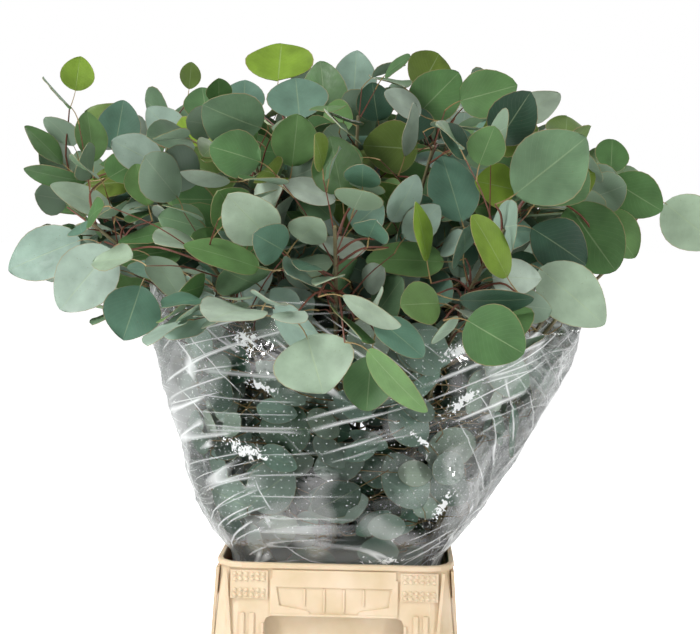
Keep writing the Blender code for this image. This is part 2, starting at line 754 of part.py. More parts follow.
def try_leaf(plan, number, make, tries):
    """Adds the first of several tries that is clear and hides no leading leaf."""
    own = {("stem", number), ("twig", number)}
    for _ in range(tries):
        leaf = make()
        if hides_leading(leaf, plan) or not bends_gently(leaf):
            continue
        if not all(inside_crown(p) for p in leaf_solid(leaf)[0]):
            continue
        if "pressed" not in leaf and any(p.z < lowest_outside(p.x) for p in leaf_solid(leaf)[0]):
            continue
        if is_clear(*blade_solid(leaf, SPARE * 2)) and is_clear(*leaf_solid(leaf, SPARE), passing=own):
            add_leaf(plan, number, leaf)
            return True
    return False


def outward_of(point):
    """Level direction from the bunch's middle line."""
    flat = Vector((point.x - CROWN_SHIFT, point.y, 0))
    return flat.normalized() if flat.length > 1e-6 else Vector((1, 0, 0))


def grow_pressed(plan, paths):
    """Leaves inside the sleeve, on long petioles straight from the outer stems, laid against the film."""
    first_outer = RINGS[0][0] + RINGS[1][0]
    for number in range(first_outer, len(paths)):
        for k in range(PRESSED_EACH):
            share = 0.42 + 0.14 * k + draw.uniform(-0.02, 0.02)
            root = on_stem(paths[number], share)

            def make():
                turn = math.atan2(root.y, root.x - CROWN_SHIFT) + draw.uniform(-0.12, 0.12)
                base = sleeve_point(turn, root.z + draw.uniform(-0.005, 0.030), draw.uniform(0.009, 0.020))
                outward = outward_of(base)
                spin = draw.uniform(0, math.tau)
                along = outward.cross(UP) * math.cos(spin) + UP * math.sin(spin) * 0.8 - outward * 0.22
                along.normalize()
                face = square_to(along, outward)
                size = draw.uniform(0.055, 0.075)
                return {
                    "base": base, "root": root, "along": along, "face": face, "across": face.cross(along),
                    "length": size, "width": size * draw.uniform(0.78, 0.98), "arch": 0.12, "fold": -0.10,
                    "outline": PLAIN_OUTLINE, "pressed": True,
                }

            try_leaf(plan, number, make, 30)


def on_twig(points, place):
    """The point at a share of a twig's length, counted evenly over its stretches."""
    stretches = len(points) - 1
    stretch = min(int(place * stretches), stretches - 1)
    return points[stretch].lerp(points[stretch + 1], place * stretches - stretch)


def leaves_up(plan, number, points, places):
    """Alternate leaves at places along a twig, each a share of its length and a turn to a side."""
    grown_here = 0
    heading = (points[-1] - points[0]).normalized()
    for place, turn in places:
        spot = on_twig(points, place)
        aim = (heading + heading.cross(UP).normalized() * (turn * 0.9)).normalized()
        size = draw.uniform(0.055, 0.082)
        grown_here += try_leaf(
            plan, number,
            lambda: free_leaf(spot, aim, outward_of(spot), size, draw.uniform(0.016, 0.028)), 14,
        )
    return grown_here


def grow_crown(plan, paths):
    """Side twigs by the golden angle up each stem, with alternate leaves and one at the end."""
    for number, path in enumerate(paths):
        spin = draw.uniform(0, math.tau)
        for k in range(TWIGS_EACH):
            share = between(0.66, 0.97, k / (TWIGS_EACH - 1))
            start = on_stem(path, share)
            ahead = (along_curve(path, min(share + 0.05, 1)) - along_curve(path, share - 0.05)).normalized()
            side = ahead.orthogonal().normalized()
            other = ahead.cross(side)
            for attempt in range(9):
                angle = spin + attempt * math.radians(40)
                lean = side * math.cos(angle) + other * math.sin(angle)
                heading = (ahead * 0.75 + lean + outward_of(start) * 0.35 + UP * 0.25).normalized()
                length = draw.uniform(0.055, 0.095)
                points = [start, start + heading * length]
                if is_clear(*twig_solid(points, SPARE / 2), passing={("stem", number), ("twig", number)}):
                    break
            else:
                continue
            spin += GOLDEN_ANGLE
            add_twig(plan, number, points)
            grown_here = leaves_up(plan, number, points, ((1.0, 0), (0.55, 1), (0.80, -1)))
            if not grown_here:
                plan[number]["twigs"].pop()


def grow_stems():
    """Curves of all the stems, each turned or drawn in until it is clear of the others and of the film."""
    paths = []
    for ring, (count, *row) in enumerate(RINGS):
        for k in range(count):
            turn = math.tau * (k + 0.5 * ring) / count + draw.uniform(-0.08, 0.08) - math.pi / 2
            lower = 0.045 * (k % 2) if ring == 2 else 0.02 * (k % 3)
            for attempt in range(90):
                aside = (attempt % 5 - 2) * 0.03
                spread = 0.62 - 0.04 * (attempt // 5 % 6)
                rise = 0.82 + 0.09 * (attempt // 30)
                height = row[2] - lower + 0.015 * (attempt // 30)
                path = stem_path((row[0], row[1], height), turn + aside, spread, rise)
                if is_clear(*stem_solid(path, SPARE)):
                    break
            stand_stem(len(paths), path)
            paths.append(path)
    return paths


def grow_bunch():
    """The whole plan: for each stem its curve, its twigs and its leaves."""
    stand("sleeve", *sleeve_skin())
    paths = grow_stems()
    plan = [{"path": path, "twigs": [], "leaves": []} for path in paths]
    missed = grow_leading(plan, paths)
    for number, stem in enumerate(plan):
        for points in list(stem["twigs"]):
            turn = draw.choice((-1, 1))
            if (points[-1] - points[0]).length > 0.08:
                leaves_up(plan, number, points, ((0.62, turn),))
    grow_pressed(plan, paths)
    grow_crown(plan, paths)
    return plan, missed


def make_branch(number, stem, leaf_finish):
    """One stem with its twigs and leaves, fused into one body."""
    name = f"branch_{number + 1:02d}"
    branch = object_of(name, *stem_solid(stem["path"]), leaf_finish)
    pieces = [object_of("twig", *twig_solid(points)) for points in stem["twigs"]]
    pieces += [object_of("leaf", *leaf_solid(leaf)) for leaf in stem["leaves"]]
    return joined(branch, pieces, "UNION")


cream = finish_of("cream polypropylene", CREAM, 0.45)
leaf_finish = finish_of("eucalyptus leaf", LEAF_GREEN, 0.5)
film = finish_of("clear film", (0.9, 0.92, 0.93, 1), 0.1, 0.25)

make_collar(cream)
make_bucket(cream)
object_of("sleeve", *sleeve_skin(), film)
plan, missed = grow_bunch()
for number, stem in enumerate(plan):
    make_branch(number, stem, leaf_finish)
print(sum(len(stem["leaves"]) for stem in plan), "leaves, leading ones left out:", missed)
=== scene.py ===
# %% [markdown]
# A full bunch of round-leaved eucalyptus branches stands in a flower bucket, wrapped in clear perforated
# film. The collar round the bucket is moulded plastic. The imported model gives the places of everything; this
# file gives the surfaces, from the plastic's satin to the leaves' veins and the film's creases.

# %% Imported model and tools
import math
import random

import bpy
from mathutils import Matrix, Vector, noise
from mathutils.bvhtree import BVHTree


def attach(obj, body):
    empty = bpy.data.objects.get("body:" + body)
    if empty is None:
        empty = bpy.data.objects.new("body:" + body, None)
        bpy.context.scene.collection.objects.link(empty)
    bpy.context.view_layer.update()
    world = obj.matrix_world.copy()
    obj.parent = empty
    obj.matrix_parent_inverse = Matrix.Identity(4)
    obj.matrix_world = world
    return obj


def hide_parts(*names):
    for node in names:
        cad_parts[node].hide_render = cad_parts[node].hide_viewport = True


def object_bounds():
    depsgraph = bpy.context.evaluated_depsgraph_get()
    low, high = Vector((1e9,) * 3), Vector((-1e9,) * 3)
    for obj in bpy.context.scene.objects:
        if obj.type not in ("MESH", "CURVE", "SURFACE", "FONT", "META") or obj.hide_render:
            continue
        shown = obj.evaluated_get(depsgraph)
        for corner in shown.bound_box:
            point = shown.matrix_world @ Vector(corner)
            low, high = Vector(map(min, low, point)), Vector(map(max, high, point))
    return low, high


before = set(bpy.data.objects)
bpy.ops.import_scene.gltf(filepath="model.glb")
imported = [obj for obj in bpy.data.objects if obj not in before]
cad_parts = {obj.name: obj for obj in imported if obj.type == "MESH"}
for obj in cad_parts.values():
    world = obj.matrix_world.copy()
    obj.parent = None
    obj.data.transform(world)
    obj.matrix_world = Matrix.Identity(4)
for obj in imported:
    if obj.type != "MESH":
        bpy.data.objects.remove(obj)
cad_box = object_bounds()
print("packed model:", len(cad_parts), "nodes, box", cad_box)

# %% [markdown]
# The photograph is taken level with the middle of the leaves, from about 1.7 m in front, through a short
# telephoto lens. A real camera has a place, a direction and a slight tilt of its horizon. They are set here
# first, because the leading leaves are laid out through them.

# %% Camera
# The front view that the leading leaves are read from: pixels, and the real distances that they stand for
VIEW_MIDDLE_PX = 350
VIEW_HORIZON_PX = 235
VIEW_FOCAL_PX = 1400
VIEW_ROLL = math.radians(0.87)
VIEW_YAW = math.radians(1.84)
VIEW_DISTANCE = 1.722
VIEW_HEIGHT = 0.6265
VIEW_SIDE = 0.0072
FRAME_PX = (700, 634)
SENSOR_MM = 36.0

eye = bpy.data.cameras.new("view from the front")
eye.sensor_width = SENSOR_MM
eye.lens = SENSOR_MM * VIEW_FOCAL_PX / FRAME_PX[0]
camera = bpy.data.objects.new("camera", eye)
bpy.context.collection.objects.link(camera)
pitch = math.atan((FRAME_PX[1] / 2 - VIEW_HORIZON_PX) / VIEW_FOCAL_PX)
aim = Matrix.Rotation(VIEW_YAW, 4, "Z") @ Matrix.Rotation(math.pi / 2 - pitch, 4, "X")
place = Vector((VIEW_SIDE + VIEW_DISTANCE * math.tan(VIEW_YAW), -VIEW_DISTANCE, VIEW_HEIGHT))
camera.matrix_world = Matrix.Translation(place) @ aim @ Matrix.Rotation(VIEW_ROLL, 4, "Z")
bpy.context.scene.camera = camera
print("camera at", tuple(round(c, 4) for c in place), "lens", round(eye.lens, 1), "mm")

# %% [markdown]
# The picture's background is plain white. A pale floor with an even white surround gives the same soft light
# from all sides, a large soft lamp above and to the left gives the leaves their form, and two tall narrow
# lamps give the film long bright streaks in its gloss; its brightest white lines are painted highlights.

# %% Floor and light
FLOOR_HALF = 60.0
# The surround and the floor look white, but light the object with less, so that the lamps can shape it
SKY_SEEN = 1.0
SKY_ON_OBJECT = 0.24
FLOOR_SEEN = 0.85
FLOOR_ON_OBJECT = 0.26
# Lamps: name, shape, place, width, height, watts
LAMPS = (
    ("key above left", "DISK", (-1.5, -1.3, 2.2), 1.2, 1.2, 54),
    ("tall left", "RECTANGLE", (-1.25, -1.25, 0.75), 0.14, 1.3, 9),
    ("tall right", "RECTANGLE", (1.35, -1.15, 0.75), 0.14, 1.3, 12),
    ("back right", "DISK", (0.9, 1.5, 1.7), 1.6, 1.6, 26),
)
LAMPS_AIM = Vector((0, 0, 0.55))


def add_node(tree, kind, inputs=None, **settings):
    """Adds a node, sets its properties, and gives each named input a value or a link."""
    made = tree.nodes.new(kind)
    for name, value in settings.items():
        setattr(made, name, value)
    for name, value in (inputs or {}).items():
        if isinstance(value, bpy.types.NodeSocket):
            tree.links.new(value, made.inputs[name])
        else:
            made.inputs[name].default_value = value
    return made


def linear(hex_colour):
    """An sRGB hex colour as a linear one, with full opacity."""
    shares = [int(hex_colour[i : i + 2], 16) / 255 for i in (1, 3, 5)]
    return (*[c / 12.92 if c <= 0.04045 else ((c + 0.055) / 1.055) ** 2.4 for c in shares], 1.0)


def ranged(tree, value, low, high, first, last):
    """A value carried from one range to another and held inside it."""
    return add_node(tree, "ShaderNodeMapRange", {
        "Value": value, "From Min": low, "From Max": high, "To Min": first, "To Max": last}).outputs["Result"]


def noisy(tree, spot, scale, detail, **settings):
    """Noise from 0 to 1 at a place, in waves per metre."""
    inputs = {"Vector": spot, "Scale": scale, "Detail": detail}
    return add_node(tree, "ShaderNodeTexNoise", inputs, **settings).outputs["Fac"]


def empty_material(name):
    material = bpy.data.materials.new(name)
    material.use_nodes = True
    material.node_tree.nodes.clear()
    return material, material.node_tree


floor_mesh = bpy.data.meshes.new("floor")
corners = [(x * FLOOR_HALF, y * FLOOR_HALF, 0) for x, y in ((-1, -1), (1, -1), (1, 1), (-1, 1))]
floor_mesh.from_pydata(corners, [], [(0, 1, 2, 3)])
floor = bpy.data.objects.new("floor", floor_mesh)
bpy.context.collection.objects.link(floor)
paper, tree = empty_material("white paper sweep")
seen = add_node(tree, "ShaderNodeLightPath").outputs["Is Camera Ray"]
level = ranged(tree, seen, 0, 1, FLOOR_ON_OBJECT, FLOOR_SEEN)
coat = add_node(tree, "ShaderNodeBsdfPrincipled", {
    "Base Color": linear("#fbfbfb"), "Roughness": 0.9,
    "Emission Color": (1, 1, 1, 1), "Emission Strength": level})
add_node(tree, "ShaderNodeOutputMaterial", {"Surface": coat.outputs[0]})
floor_mesh.materials.append(paper)

world = bpy.data.worlds.new("white surround")
world.use_nodes = True
world.node_tree.nodes.clear()
seen = add_node(world.node_tree, "ShaderNodeLightPath").outputs["Is Camera Ray"]
level = ranged(world.node_tree, seen, 0, 1, SKY_ON_OBJECT, SKY_SEEN)
sky = add_node(world.node_tree, "ShaderNodeBackground", {"Color": (1, 1, 1, 1), "Strength": level})
add_node(world.node_tree, "ShaderNodeOutputWorld", {"Surface": sky.outputs[0]})
bpy.context.scene.world = world
bpy.context.scene.view_settings.view_transform = "Standard"

for name, shape, spot, width, height, watts in LAMPS:
    lamp = bpy.data.lights.new(name, "AREA")
    lamp.shape = shape
    lamp.size = width
    if shape == "RECTANGLE":
        lamp.size_y = height
    lamp.energy = watts
    holder = bpy.data.objects.new(name, lamp)
    holder.location = spot
    holder.rotation_euler = (LAMPS_AIM - Vector(spot)).to_track_quat("-Z", "Y").to_euler()
    bpy.context.collection.objects.link(holder)
print(len(LAMPS), "lamps")

# %% [markdown]
# The bucket and collar are injection-moulded polypropylene in cream. The plastic is satin, lets a little
# light in, and collects fine scuffs. Moulded edges are never sharp, so the shader rounds them by under a
# millimetre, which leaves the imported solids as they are.

# %% Cream moulded polypropylene
POLYPROPYLENE_IOR = 1.49
SATIN = (0.38, 0.56)
SCUFF_MM = 1.6
MOULDED_EDGE = 0.0007
DIRT_MM = 45


def cream_polypropylene():
    """Satin moulded polypropylene (PP): soft highlights, a warm body colour and fine scuffs."""
    material, tree = empty_material("cream moulded polypropylene")
    spot = add_node(tree, "ShaderNodeTexCoord").outputs["Object"]
    scuffs = noisy(tree, spot, 1000 / SCUFF_MM, 4.0)
    tint = add_node(tree, "ShaderNodeValToRGB", {"Fac": noisy(tree, spot, 1000 / DIRT_MM, 5.0)})
    tint.color_ramp.elements[0].position = 0.30
    tint.color_ramp.elements[0].color = linear("#cfb996")
    tint.color_ramp.elements[1].position = 0.68
    tint.color_ramp.elements[1].color = linear("#dfcbb0")
    gloss = ranged(tree, scuffs, 0.3, 0.7, *SATIN)
    rounded = add_node(tree, "ShaderNodeBevel", {"Radius": MOULDED_EDGE}, samples=6)
    grain = add_node(tree, "ShaderNodeBump", {
        "Strength": 0.12, "Distance": 0.0002, "Height": scuffs, "Normal": rounded.outputs[0]})
    plastic = add_node(tree, "ShaderNodeBsdfPrincipled", {
        "Base Color": tint.outputs["Color"], "Roughness": gloss, "IOR": POLYPROPYLENE_IOR,
        "Normal": grain.outputs["Normal"], "Subsurface Weight": 0.15, "Subsurface Scale": 0.004})
    add_node(tree, "ShaderNodeOutputMaterial", {"Surface": plastic.outputs[0]})
    return material


cream = cream_polypropylene()
for name in ("bucket", "collar"):
    node_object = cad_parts[name]
    node_object.data.materials.clear()
    node_object.data.materials.append(cream)
print("cream plastic on the bucket and the collar")

# %% [markdown]
# Small round pips stand on the four grip pads of the collar. They repeat on a grid, so a Geometry Nodes tree
# sets one low dome on each point of a mesh. The same tree later sets the rims of the film's holes.

# %% Domes on points
# Collar: an open frame that widens towards the floor and carries the raised pads and ribs
COLLAR_HEIGHT = 0.260
COLLAR_TOP = (0.131, 0.181)
COLLAR_FOOT = (0.150, 0.200)
PLATE_PROUD = 0.0020
PIP_PITCH = 0.0064
PIP_RADIUS = 0.0026
PIP_HEIGHT_SHARE = 0.8
PIP_SIDES = 10
PIP_COLUMNS = 6
PIP_ROWS = (0.0125, 0.0185, 0.0305, 0.0365)
PIP_FIRST = -0.1110
UP = Vector((0, 0, 1))


def points_object(name, points, normals):
    """A mesh of loose points that carry a direction, for a tree to read."""
    mesh = bpy.data.meshes.new(name)
    mesh.from_pydata([tuple(p) for p in points], [], [])
    facing = mesh.attributes.new("facing", "FLOAT_VECTOR", "POINT")
    facing.data.foreach_set("vector", [c for n in normals for c in n])
    made = bpy.data.objects.new(name, mesh)
    bpy.context.collection.objects.link(made)
    return made


def domes_tree(material):
    """Sets a flattened dome on every point, turned to the point's direction."""
    tree = bpy.data.node_groups.new("domes on points", "GeometryNodeTree")
    face = tree.interface
    face.new_socket("Geometry", in_out="INPUT", socket_type="NodeSocketGeometry")
    radius = face.new_socket("Dome radius", in_out="INPUT", socket_type="NodeSocketFloat")
    flatness = face.new_socket("Height share", in_out="INPUT", socket_type="NodeSocketFloat")
    sides = face.new_socket("Sides", in_out="INPUT", socket_type="NodeSocketInt")
    face.new_socket("Geometry", in_out="OUTPUT", socket_type="NodeSocketGeometry")
    given = add_node(tree, "NodeGroupInput")
    dome = add_node(tree, "GeometryNodeMeshUVSphere", {
        "Segments": given.outputs["Sides"], "Rings": 4, "Radius": given.outputs["Dome radius"]})
    flat = add_node(tree, "ShaderNodeCombineXYZ", {"X": 1.0, "Y": 1.0, "Z": given.outputs["Height share"]})
    low = add_node(tree, "GeometryNodeTransform", {
        "Geometry": dome.outputs["Mesh"], "Scale": flat.outputs[0]})
    facing = add_node(tree, "GeometryNodeInputNamedAttribute", {"Name": "facing"}, data_type="FLOAT_VECTOR")
    turn = add_node(tree, "FunctionNodeAlignRotationToVector", {"Vector": facing.outputs[0]}, axis="Z")
    copies = add_node(tree, "GeometryNodeInstanceOnPoints", {
        "Points": given.outputs["Geometry"], "Instance": low.outputs[0], "Rotation": turn.outputs[0]})
    real = add_node(tree, "GeometryNodeRealizeInstances", {"Geometry": copies.outputs[0]})
    painted = add_node(tree, "GeometryNodeSetMaterial", {"Geometry": real.outputs[0], "Material": material})
    add_node(tree, "NodeGroupOutput", {"Geometry": painted.outputs[0]})
    return tree, {"radius": radius.identifier, "flatness": flatness.identifier, "sides": sides.identifier}


def grown_domes(name, points, normals, material, radius, flatness, sides):
    """Runs the tree on the points and keeps its result as a plain mesh."""
    holder = points_object(name + "_points", points, normals)
    tree, key = domes_tree(material)
    nodes = holder.modifiers.new("domes", "NODES")
    nodes.node_group = tree
    nodes[key["radius"]] = radius
    nodes[key["flatness"]] = flatness
    nodes[key["sides"]] = sides
    graph = bpy.context.evaluated_depsgraph_get()
    mesh = bpy.data.meshes.new_from_object(holder.evaluated_get(graph))
    bpy.data.objects.remove(holder)
    mesh.shade_smooth()
    made = bpy.data.objects.new(name, mesh)
    bpy.context.collection.objects.link(made)
    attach(made, "root")
    return made


# %% [markdown]
# The pads stand a little proud of walls that lean back, so each pip needs a place and a direction. Both are
# worked out from the collar's own width at its top and at its foot.

# %% Pips on the collar's grip pads
def pad_points():
    """Points and directions of the pips on the front and back walls, which lean back by a few degrees."""
    points, normals = [], []
    drop = Vector((0, COLLAR_FOOT[1] - COLLAR_TOP[1], COLLAR_HEIGHT)).normalized()
    for out in (-1, 1):
        down = Vector((0, out * drop.y, -drop.z))
        normal = Vector((0, out * drop.z, drop.y))
        top = Vector((0, out * COLLAR_TOP[1], COLLAR_HEIGHT))
        for side in (-1, 1):
            for column in range(PIP_COLUMNS):
                across = side * (PIP_FIRST + column * PIP_PITCH)
                for row in PIP_ROWS:
                    points.append(top + Vector((across, 0, 0)) + down * row + normal * PLATE_PROUD)
                    normals.append(normal)
    return points, normals


pips = grown_domes("collar_pips", *pad_points(), cream, PIP_RADIUS, PIP_HEIGHT_SHARE, PIP_SIDES)
print(len(pips.data.polygons), "faces of pips")

# %% [markdown]
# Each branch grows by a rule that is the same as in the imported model: stems fan out of the bucket, twigs
# leave them by the golden angle, and every leaf is turned until it is clear of what stands already. The rule
# is repeated here with the same seed, so the fine leaves land where the plain ones are.

# %% Numbers of the sleeve and the bunch
# Sleeve: height, half width, half depth, sideways shift of its middle
SLEEVE_STATIONS = (
    (0.085, 0.0900, 0.1250, 0.000),
    (0.225, 0.1204, 0.1704, 0.000),
    (0.2615, 0.1272, 0.1772, 0.000),
    (0.290, 0.1520, 0.1980, 0.000),
    (0.335, 0.1840, 0.2140, 0.004),
    (0.385, 0.2150, 0.2270, 0.012),
    (0.435, 0.2380, 0.2400, 0.020),
    (0.500, 0.2560, 0.2520, 0.025),
    (0.600, 0.2640, 0.2580, 0.026),
)
SLEEVE_TOP = 0.545
SLEEVE_LIFT = 0.024
SLEEVE_FILM = 0.0011
SLEEVE_SECTORS = 18
NECK_SQUARENESS = 5.0
MOUTH_SQUARENESS = 2.2
# Branches: stems in each ring, foot radius, reach of the tip, height of the tip
SEED = 23
RINGS = (
    (4, 0.021, 0.085, 0.765),
    (7, 0.046, 0.200, 0.725),
    (11, 0.071, 0.300, 0.635),
)
BUCKET_FLOOR = 0.004
FOOT_LIFT = 0.0009
CLEARANCE = 0.0003
BUCKET_DEEPER = 1.30
CROWN_WIDER = 1.10
CROWN_SHIFT = 0.015
CROWN_HALF = (0.400, 0.360)
CROWN_PEAK = (-0.08, 0.868)
CROWN_FALL = 0.70
LOWEST_OUTSIDE = 0.500
STEM_SEGMENTS = 7
STEM_RADIUS = (0.0048, 0.0021)
TWIG_RADIUS = (0.0021, 0.0017)
TWIG_REACH = (0.03, 0.24)
PRESSED_EACH = 3
TWIGS_EACH = 3
LEAF_THICK = 0.0009
PETIOLE_ROOT_HALF = 0.0006
PETIOLE_HALF = 0.0009
SPARE = 0.0016
GOLDEN_ANGLE = math.radians(137.5)
TO_VIEWER = Vector((0, -1, 0))
# Half width of a round blade along its length, as shares of its length and of its width
BLADE_OUTLINE = ((0.0, 0.0), (0.18, 0.37), (0.52, 0.50), (0.85, 0.33), (1.0, 0.0))
PLAIN_OUTLINE = ((0.0, 0.0), (0.24, 0.44), (0.72, 0.45), (1.0, 0.0))

# %% Leading leaves, read from the front view
# Leading leaves: name, pixels where the blade meets its petiole and where it ends, depth, 1 where the tip
# comes towards the viewer or -1, turn about the midrib in degrees, length and width in millimetres
LEADING_LEAVES = (
    ("lone_upper_left", (72, 91), (80, 60), 0.00, 1, 15, 44, 42),
    ("left_blade", (60, 164), (28, 126), -0.02, 1, 52, 64, 36),
    ("left_low_blade", (83, 181), (23, 173), -0.05, 1, -55, 74, 42),
    ("left_pale", (112, 216), (54, 182), -0.07, 1, 50, 82, 44),
    ("hanging_left_outer", (78, 240), (6, 268), -0.08, 1, 20, 92, 70),
    ("hanging_left_middle", (109, 249), (60, 308), -0.13, 1, 10, 90, 74),
    ("hanging_left_inner", (139, 286), (127, 337), -0.17, 1, -10, 66, 66),
    ("left_rim_blade", (148, 256), (186, 297), -0.21, 1, -48, 64, 42),
    ("left_level_blade", (190, 228), (117, 238), -0.15, 1, 60, 84, 40),
    ("left_light_blade", (258, 268), (186, 241), -0.25, 1, 50, 82, 46),
    ("left_dark_round", (112, 150), (118, 98), 0.04, -1, 10, 68, 56),
    ("left_upright", (90, 162), (84, 110), -0.02, -1, 42, 64, 46),
    ("left_pale_round", (158, 166), (112, 140), -0.06, 1, 30, 64, 52),
    ("left_mid_upright", (146, 206), (132, 162), -0.12, -1, 32, 54, 44),
    ("pale_front_blade", (228, 182), (180, 176), -0.22, 1, -60, 54, 34),
    ("pale_centre_blade", (334, 200), (282, 183), -0.24, 1, 48, 60, 42),
    ("centre_round", (290, 167), (296, 117), -0.14, 1, 5, 60, 54),
    ("crown_notched", (275, 82), (275, 38), 0.10, -1, 0, 70, 90),
    ("crown_blue", (297, 120), (290, 74), 0.03, -1, 5, 66, 78),
    ("crown_green", (325, 126), (315, 60), 0.08, -1, -8, 86, 64),
    ("crown_back_pale", (350, 108), (352, 50), 0.16, -1, 0, 76, 60),
    ("crown_left_blue", (240, 117), (240, 77), 0.05, -1, 8, 56, 54),
    ("crown_left_green", (205, 122), (196, 84), 0.00, -1, 12, 54, 54),
    ("small_green", (216, 103), (218, 82), -0.04, 1, 20, 32, 32),
    ("small_olive", (186, 90), (188, 62), 0.06, -1, 20, 36, 28),
    ("grey_round", (178, 142), (146, 108), -0.02, 1, 15, 56, 46),
    ("crown_right_round", (412, 118), (455, 72), 0.05, -1, -5, 80, 66),
    ("crown_right_back", (415, 92), (436, 52), 0.14, -1, 10, 66, 66),
    ("dark_round", (375, 122), (368, 86), 0.00, 1, -20, 48, 48),
    ("olive_round", (415, 150), (361, 146), -0.12, 1, 5, 62, 62),
    ("blue_wide", (460, 222), (440, 154), -0.20, -1, 12, 78, 58),
    ("lime_round", (511, 190), (473, 182), -0.17, 1, 10, 50, 50),
    ("big_right", (512, 195), (580, 140), -0.26, 1, 5, 90, 80),
    ("right_two_tone", (529, 228), (584, 262), -0.20, 1, -25, 70, 66),
    ("right_big_green", (566, 206), (610, 270), -0.15, 1, 12, 88, 74),
    ("right_pale_behind", (600, 210), (630, 258), -0.08, 1, 20, 66, 52),
    ("right_far", (660, 203), (712, 246), -0.02, 1, 5, 82, 68),
    ("right_low", (538, 268), (603, 322), -0.24, 1, -12, 90, 66),
    ("front_olive", (467, 320), (522, 352), -0.31, 1, 5, 66, 64),
    ("right_lime_upright", (506, 277), (473, 215), -0.28, 1, 42, 76, 46),
    ("right_dark_level", (459, 300), (531, 302), -0.27, 1, 50, 76, 42),
    ("front_kite", (307, 337), (325, 390), -0.31, 1, 0, 62, 84),
    ("front_hanging_dark", (372, 356), (368, 408), -0.29, 1, 10, 58, 54),
    ("front_hanging_long", (368, 350), (424, 412), -0.33, 1, 48, 86, 44),
    ("front_low_pair", (378, 320), (424, 352), -0.31, 1, -40, 62, 40),
    ("front_pale_low", (342, 296), (398, 328), -0.29, 1, 55, 68, 38),
    ("centre_level", (443, 262), (366, 256), -0.21, 1, 42, 84, 52),
    ("lime_strip", (426, 261), (417, 202), -0.26, 1, 60, 64, 36),
    ("centre_pale_level", (365, 250), (315, 243), -0.25, 1, -52, 54, 38),
    ("upright_pale_right", (402, 157), (414, 106), -0.15, 1, 62, 60, 34),
    ("pale_top_right", (505, 120), (552, 100), -0.07, 1, 35, 66, 44),
    ("right_top_green", (606, 173), (610, 138), 0.01, -1, 10, 48, 44),
    ("right_glossy", (607, 180), (655, 212), -0.04, 1, 20, 70, 58),
    ("mauve_upright", (390, 222), (416, 178), -0.25, 1, 38, 56, 40),
    ("crown_right_green", (508, 128), (510, 90), 0.06, -1, 0, 62, 60),
    ("crown_right_low", (560, 146), (566, 113), 0.03, -1, 0, 56, 54),
    ("white_top", (417, 116), (383, 94), -0.06, 1, 35, 52, 38),
    ("green_top_middle", (413, 142), (410, 102), -0.03, -1, 12, 54, 50),
)
# The tone that each of them shows in the picture, by its name under Leaf colours
LEADING_BY_TONE = {
    "lime": "lone_upper_left crown_notched lime_round right_lime_upright lime_strip",
    "green": "left_blade left_low_blade left_level_blade crown_green crown_left_green small_green "
             "crown_right_round right_big_green front_olive front_hanging_dark right_top_green "
             "right_glossy crown_right_green",
    "pale": "left_pale left_rim_blade right_far right_low front_kite front_pale_low",
    "silver": "hanging_left_outer hanging_left_middle left_pale_round crown_back_pale grey_round "
              "mauve_upright",
    "blue": "hanging_left_inner left_dark_round crown_blue crown_left_blue blue_wide front_low_pair",
    "light": "left_light_blade left_upright left_mid_upright centre_round right_pale_behind "
             "front_hanging_long centre_level",
    "under": "pale_front_blade pale_centre_blade centre_pale_level upright_pale_right pale_top_right "
             "white_top",
    "olive": "small_olive crown_right_back olive_round crown_right_low",
    "deep": "dark_round right_two_tone right_dark_level green_top_middle",
    "moss": "big_right",
}
LEADING_TONES = {leaf: tone for tone, leaves in LEADING_BY_TONE.items() for leaf in leaves.split()}
draw = random.Random(SEED)
standing = []


# %% [markdown]
# The rule needs each stem, twig and leaf as a simple closed solid, only to see what touches what. Lofts
# through loops of points make tubes and the sleeve, and a leaf is a thin plate through a few rows.

# %% Shapes in plain points and faces
def between(low, high, share):
    return low + (high - low) * share


def loft(loops, ring, turned=None):
    """Points and faces of a skin through loops, closed into a ring or capped at both ends.

    From the turned loop on, quads are split along their other diagonal, so a thin wall's two sides match.
    """
    count = len(loops[0])
    points = [p for loop in loops for p in loop]
    faces = []
    spans = len(loops) if ring else len(loops) - 1
    for k in range(spans):
        low = k * count
        high = ((k + 1) % len(loops)) * count
        for i in range(count):
            j = (i + 1) % count
            if turned is not None and k >= turned:
                faces += [(low + i, low + j, high + i), (low + j, high + j, high + i)]
            else:
                faces += [(low + i, low + j, high + j), (low + i, high + j, high + i)]
    if not ring:
        faces.append(tuple(reversed(range(count))))
        faces.append(tuple(range((len(loops) - 1) * count, len(loops) * count)))
    return points, faces


def square_to(direction, vector):
    return (vector - direction * vector.dot(direction)).normalized()


def tube(points, radii, sides, turn):
    """Points and faces of a closed tube through points, carried along without a twist."""
    rings = []
    side = (points[1] - points[0]).orthogonal()
    for k, p in enumerate(points):
        ahead = (points[min(k + 1, len(points) - 1)] - points[max(k - 1, 0)]).normalized()
        side = square_to(ahead, side)
        other = ahead.cross(side)
        loop = []
        for i in range(sides):
            angle = turn + math.tau * i / sides
            loop.append(p + (side * math.cos(angle) + other * math.sin(angle)) * radii[k])
        rings.append(loop)
    return loft(rings, False)


# %% The sleeve's form
def sleeve_size(height):
    """Half width, half depth and sideways shift of the sleeve at a height."""
    for low, high in zip(SLEEVE_STATIONS, SLEEVE_STATIONS[1:]):
        if height <= high[0]:
            share = (height - low[0]) / (high[0] - low[0])
            return [between(a, b, share) for a, b in zip(low[1:], high[1:])]
    return list(SLEEVE_STATIONS[-1][1:])


def sleeve_mouth(angle):
    """Height of the sleeve's open edge, highest at the left."""
    return SLEEVE_TOP - SLEEVE_LIFT * math.cos(angle) + 0.006 * math.sin(3 * angle)


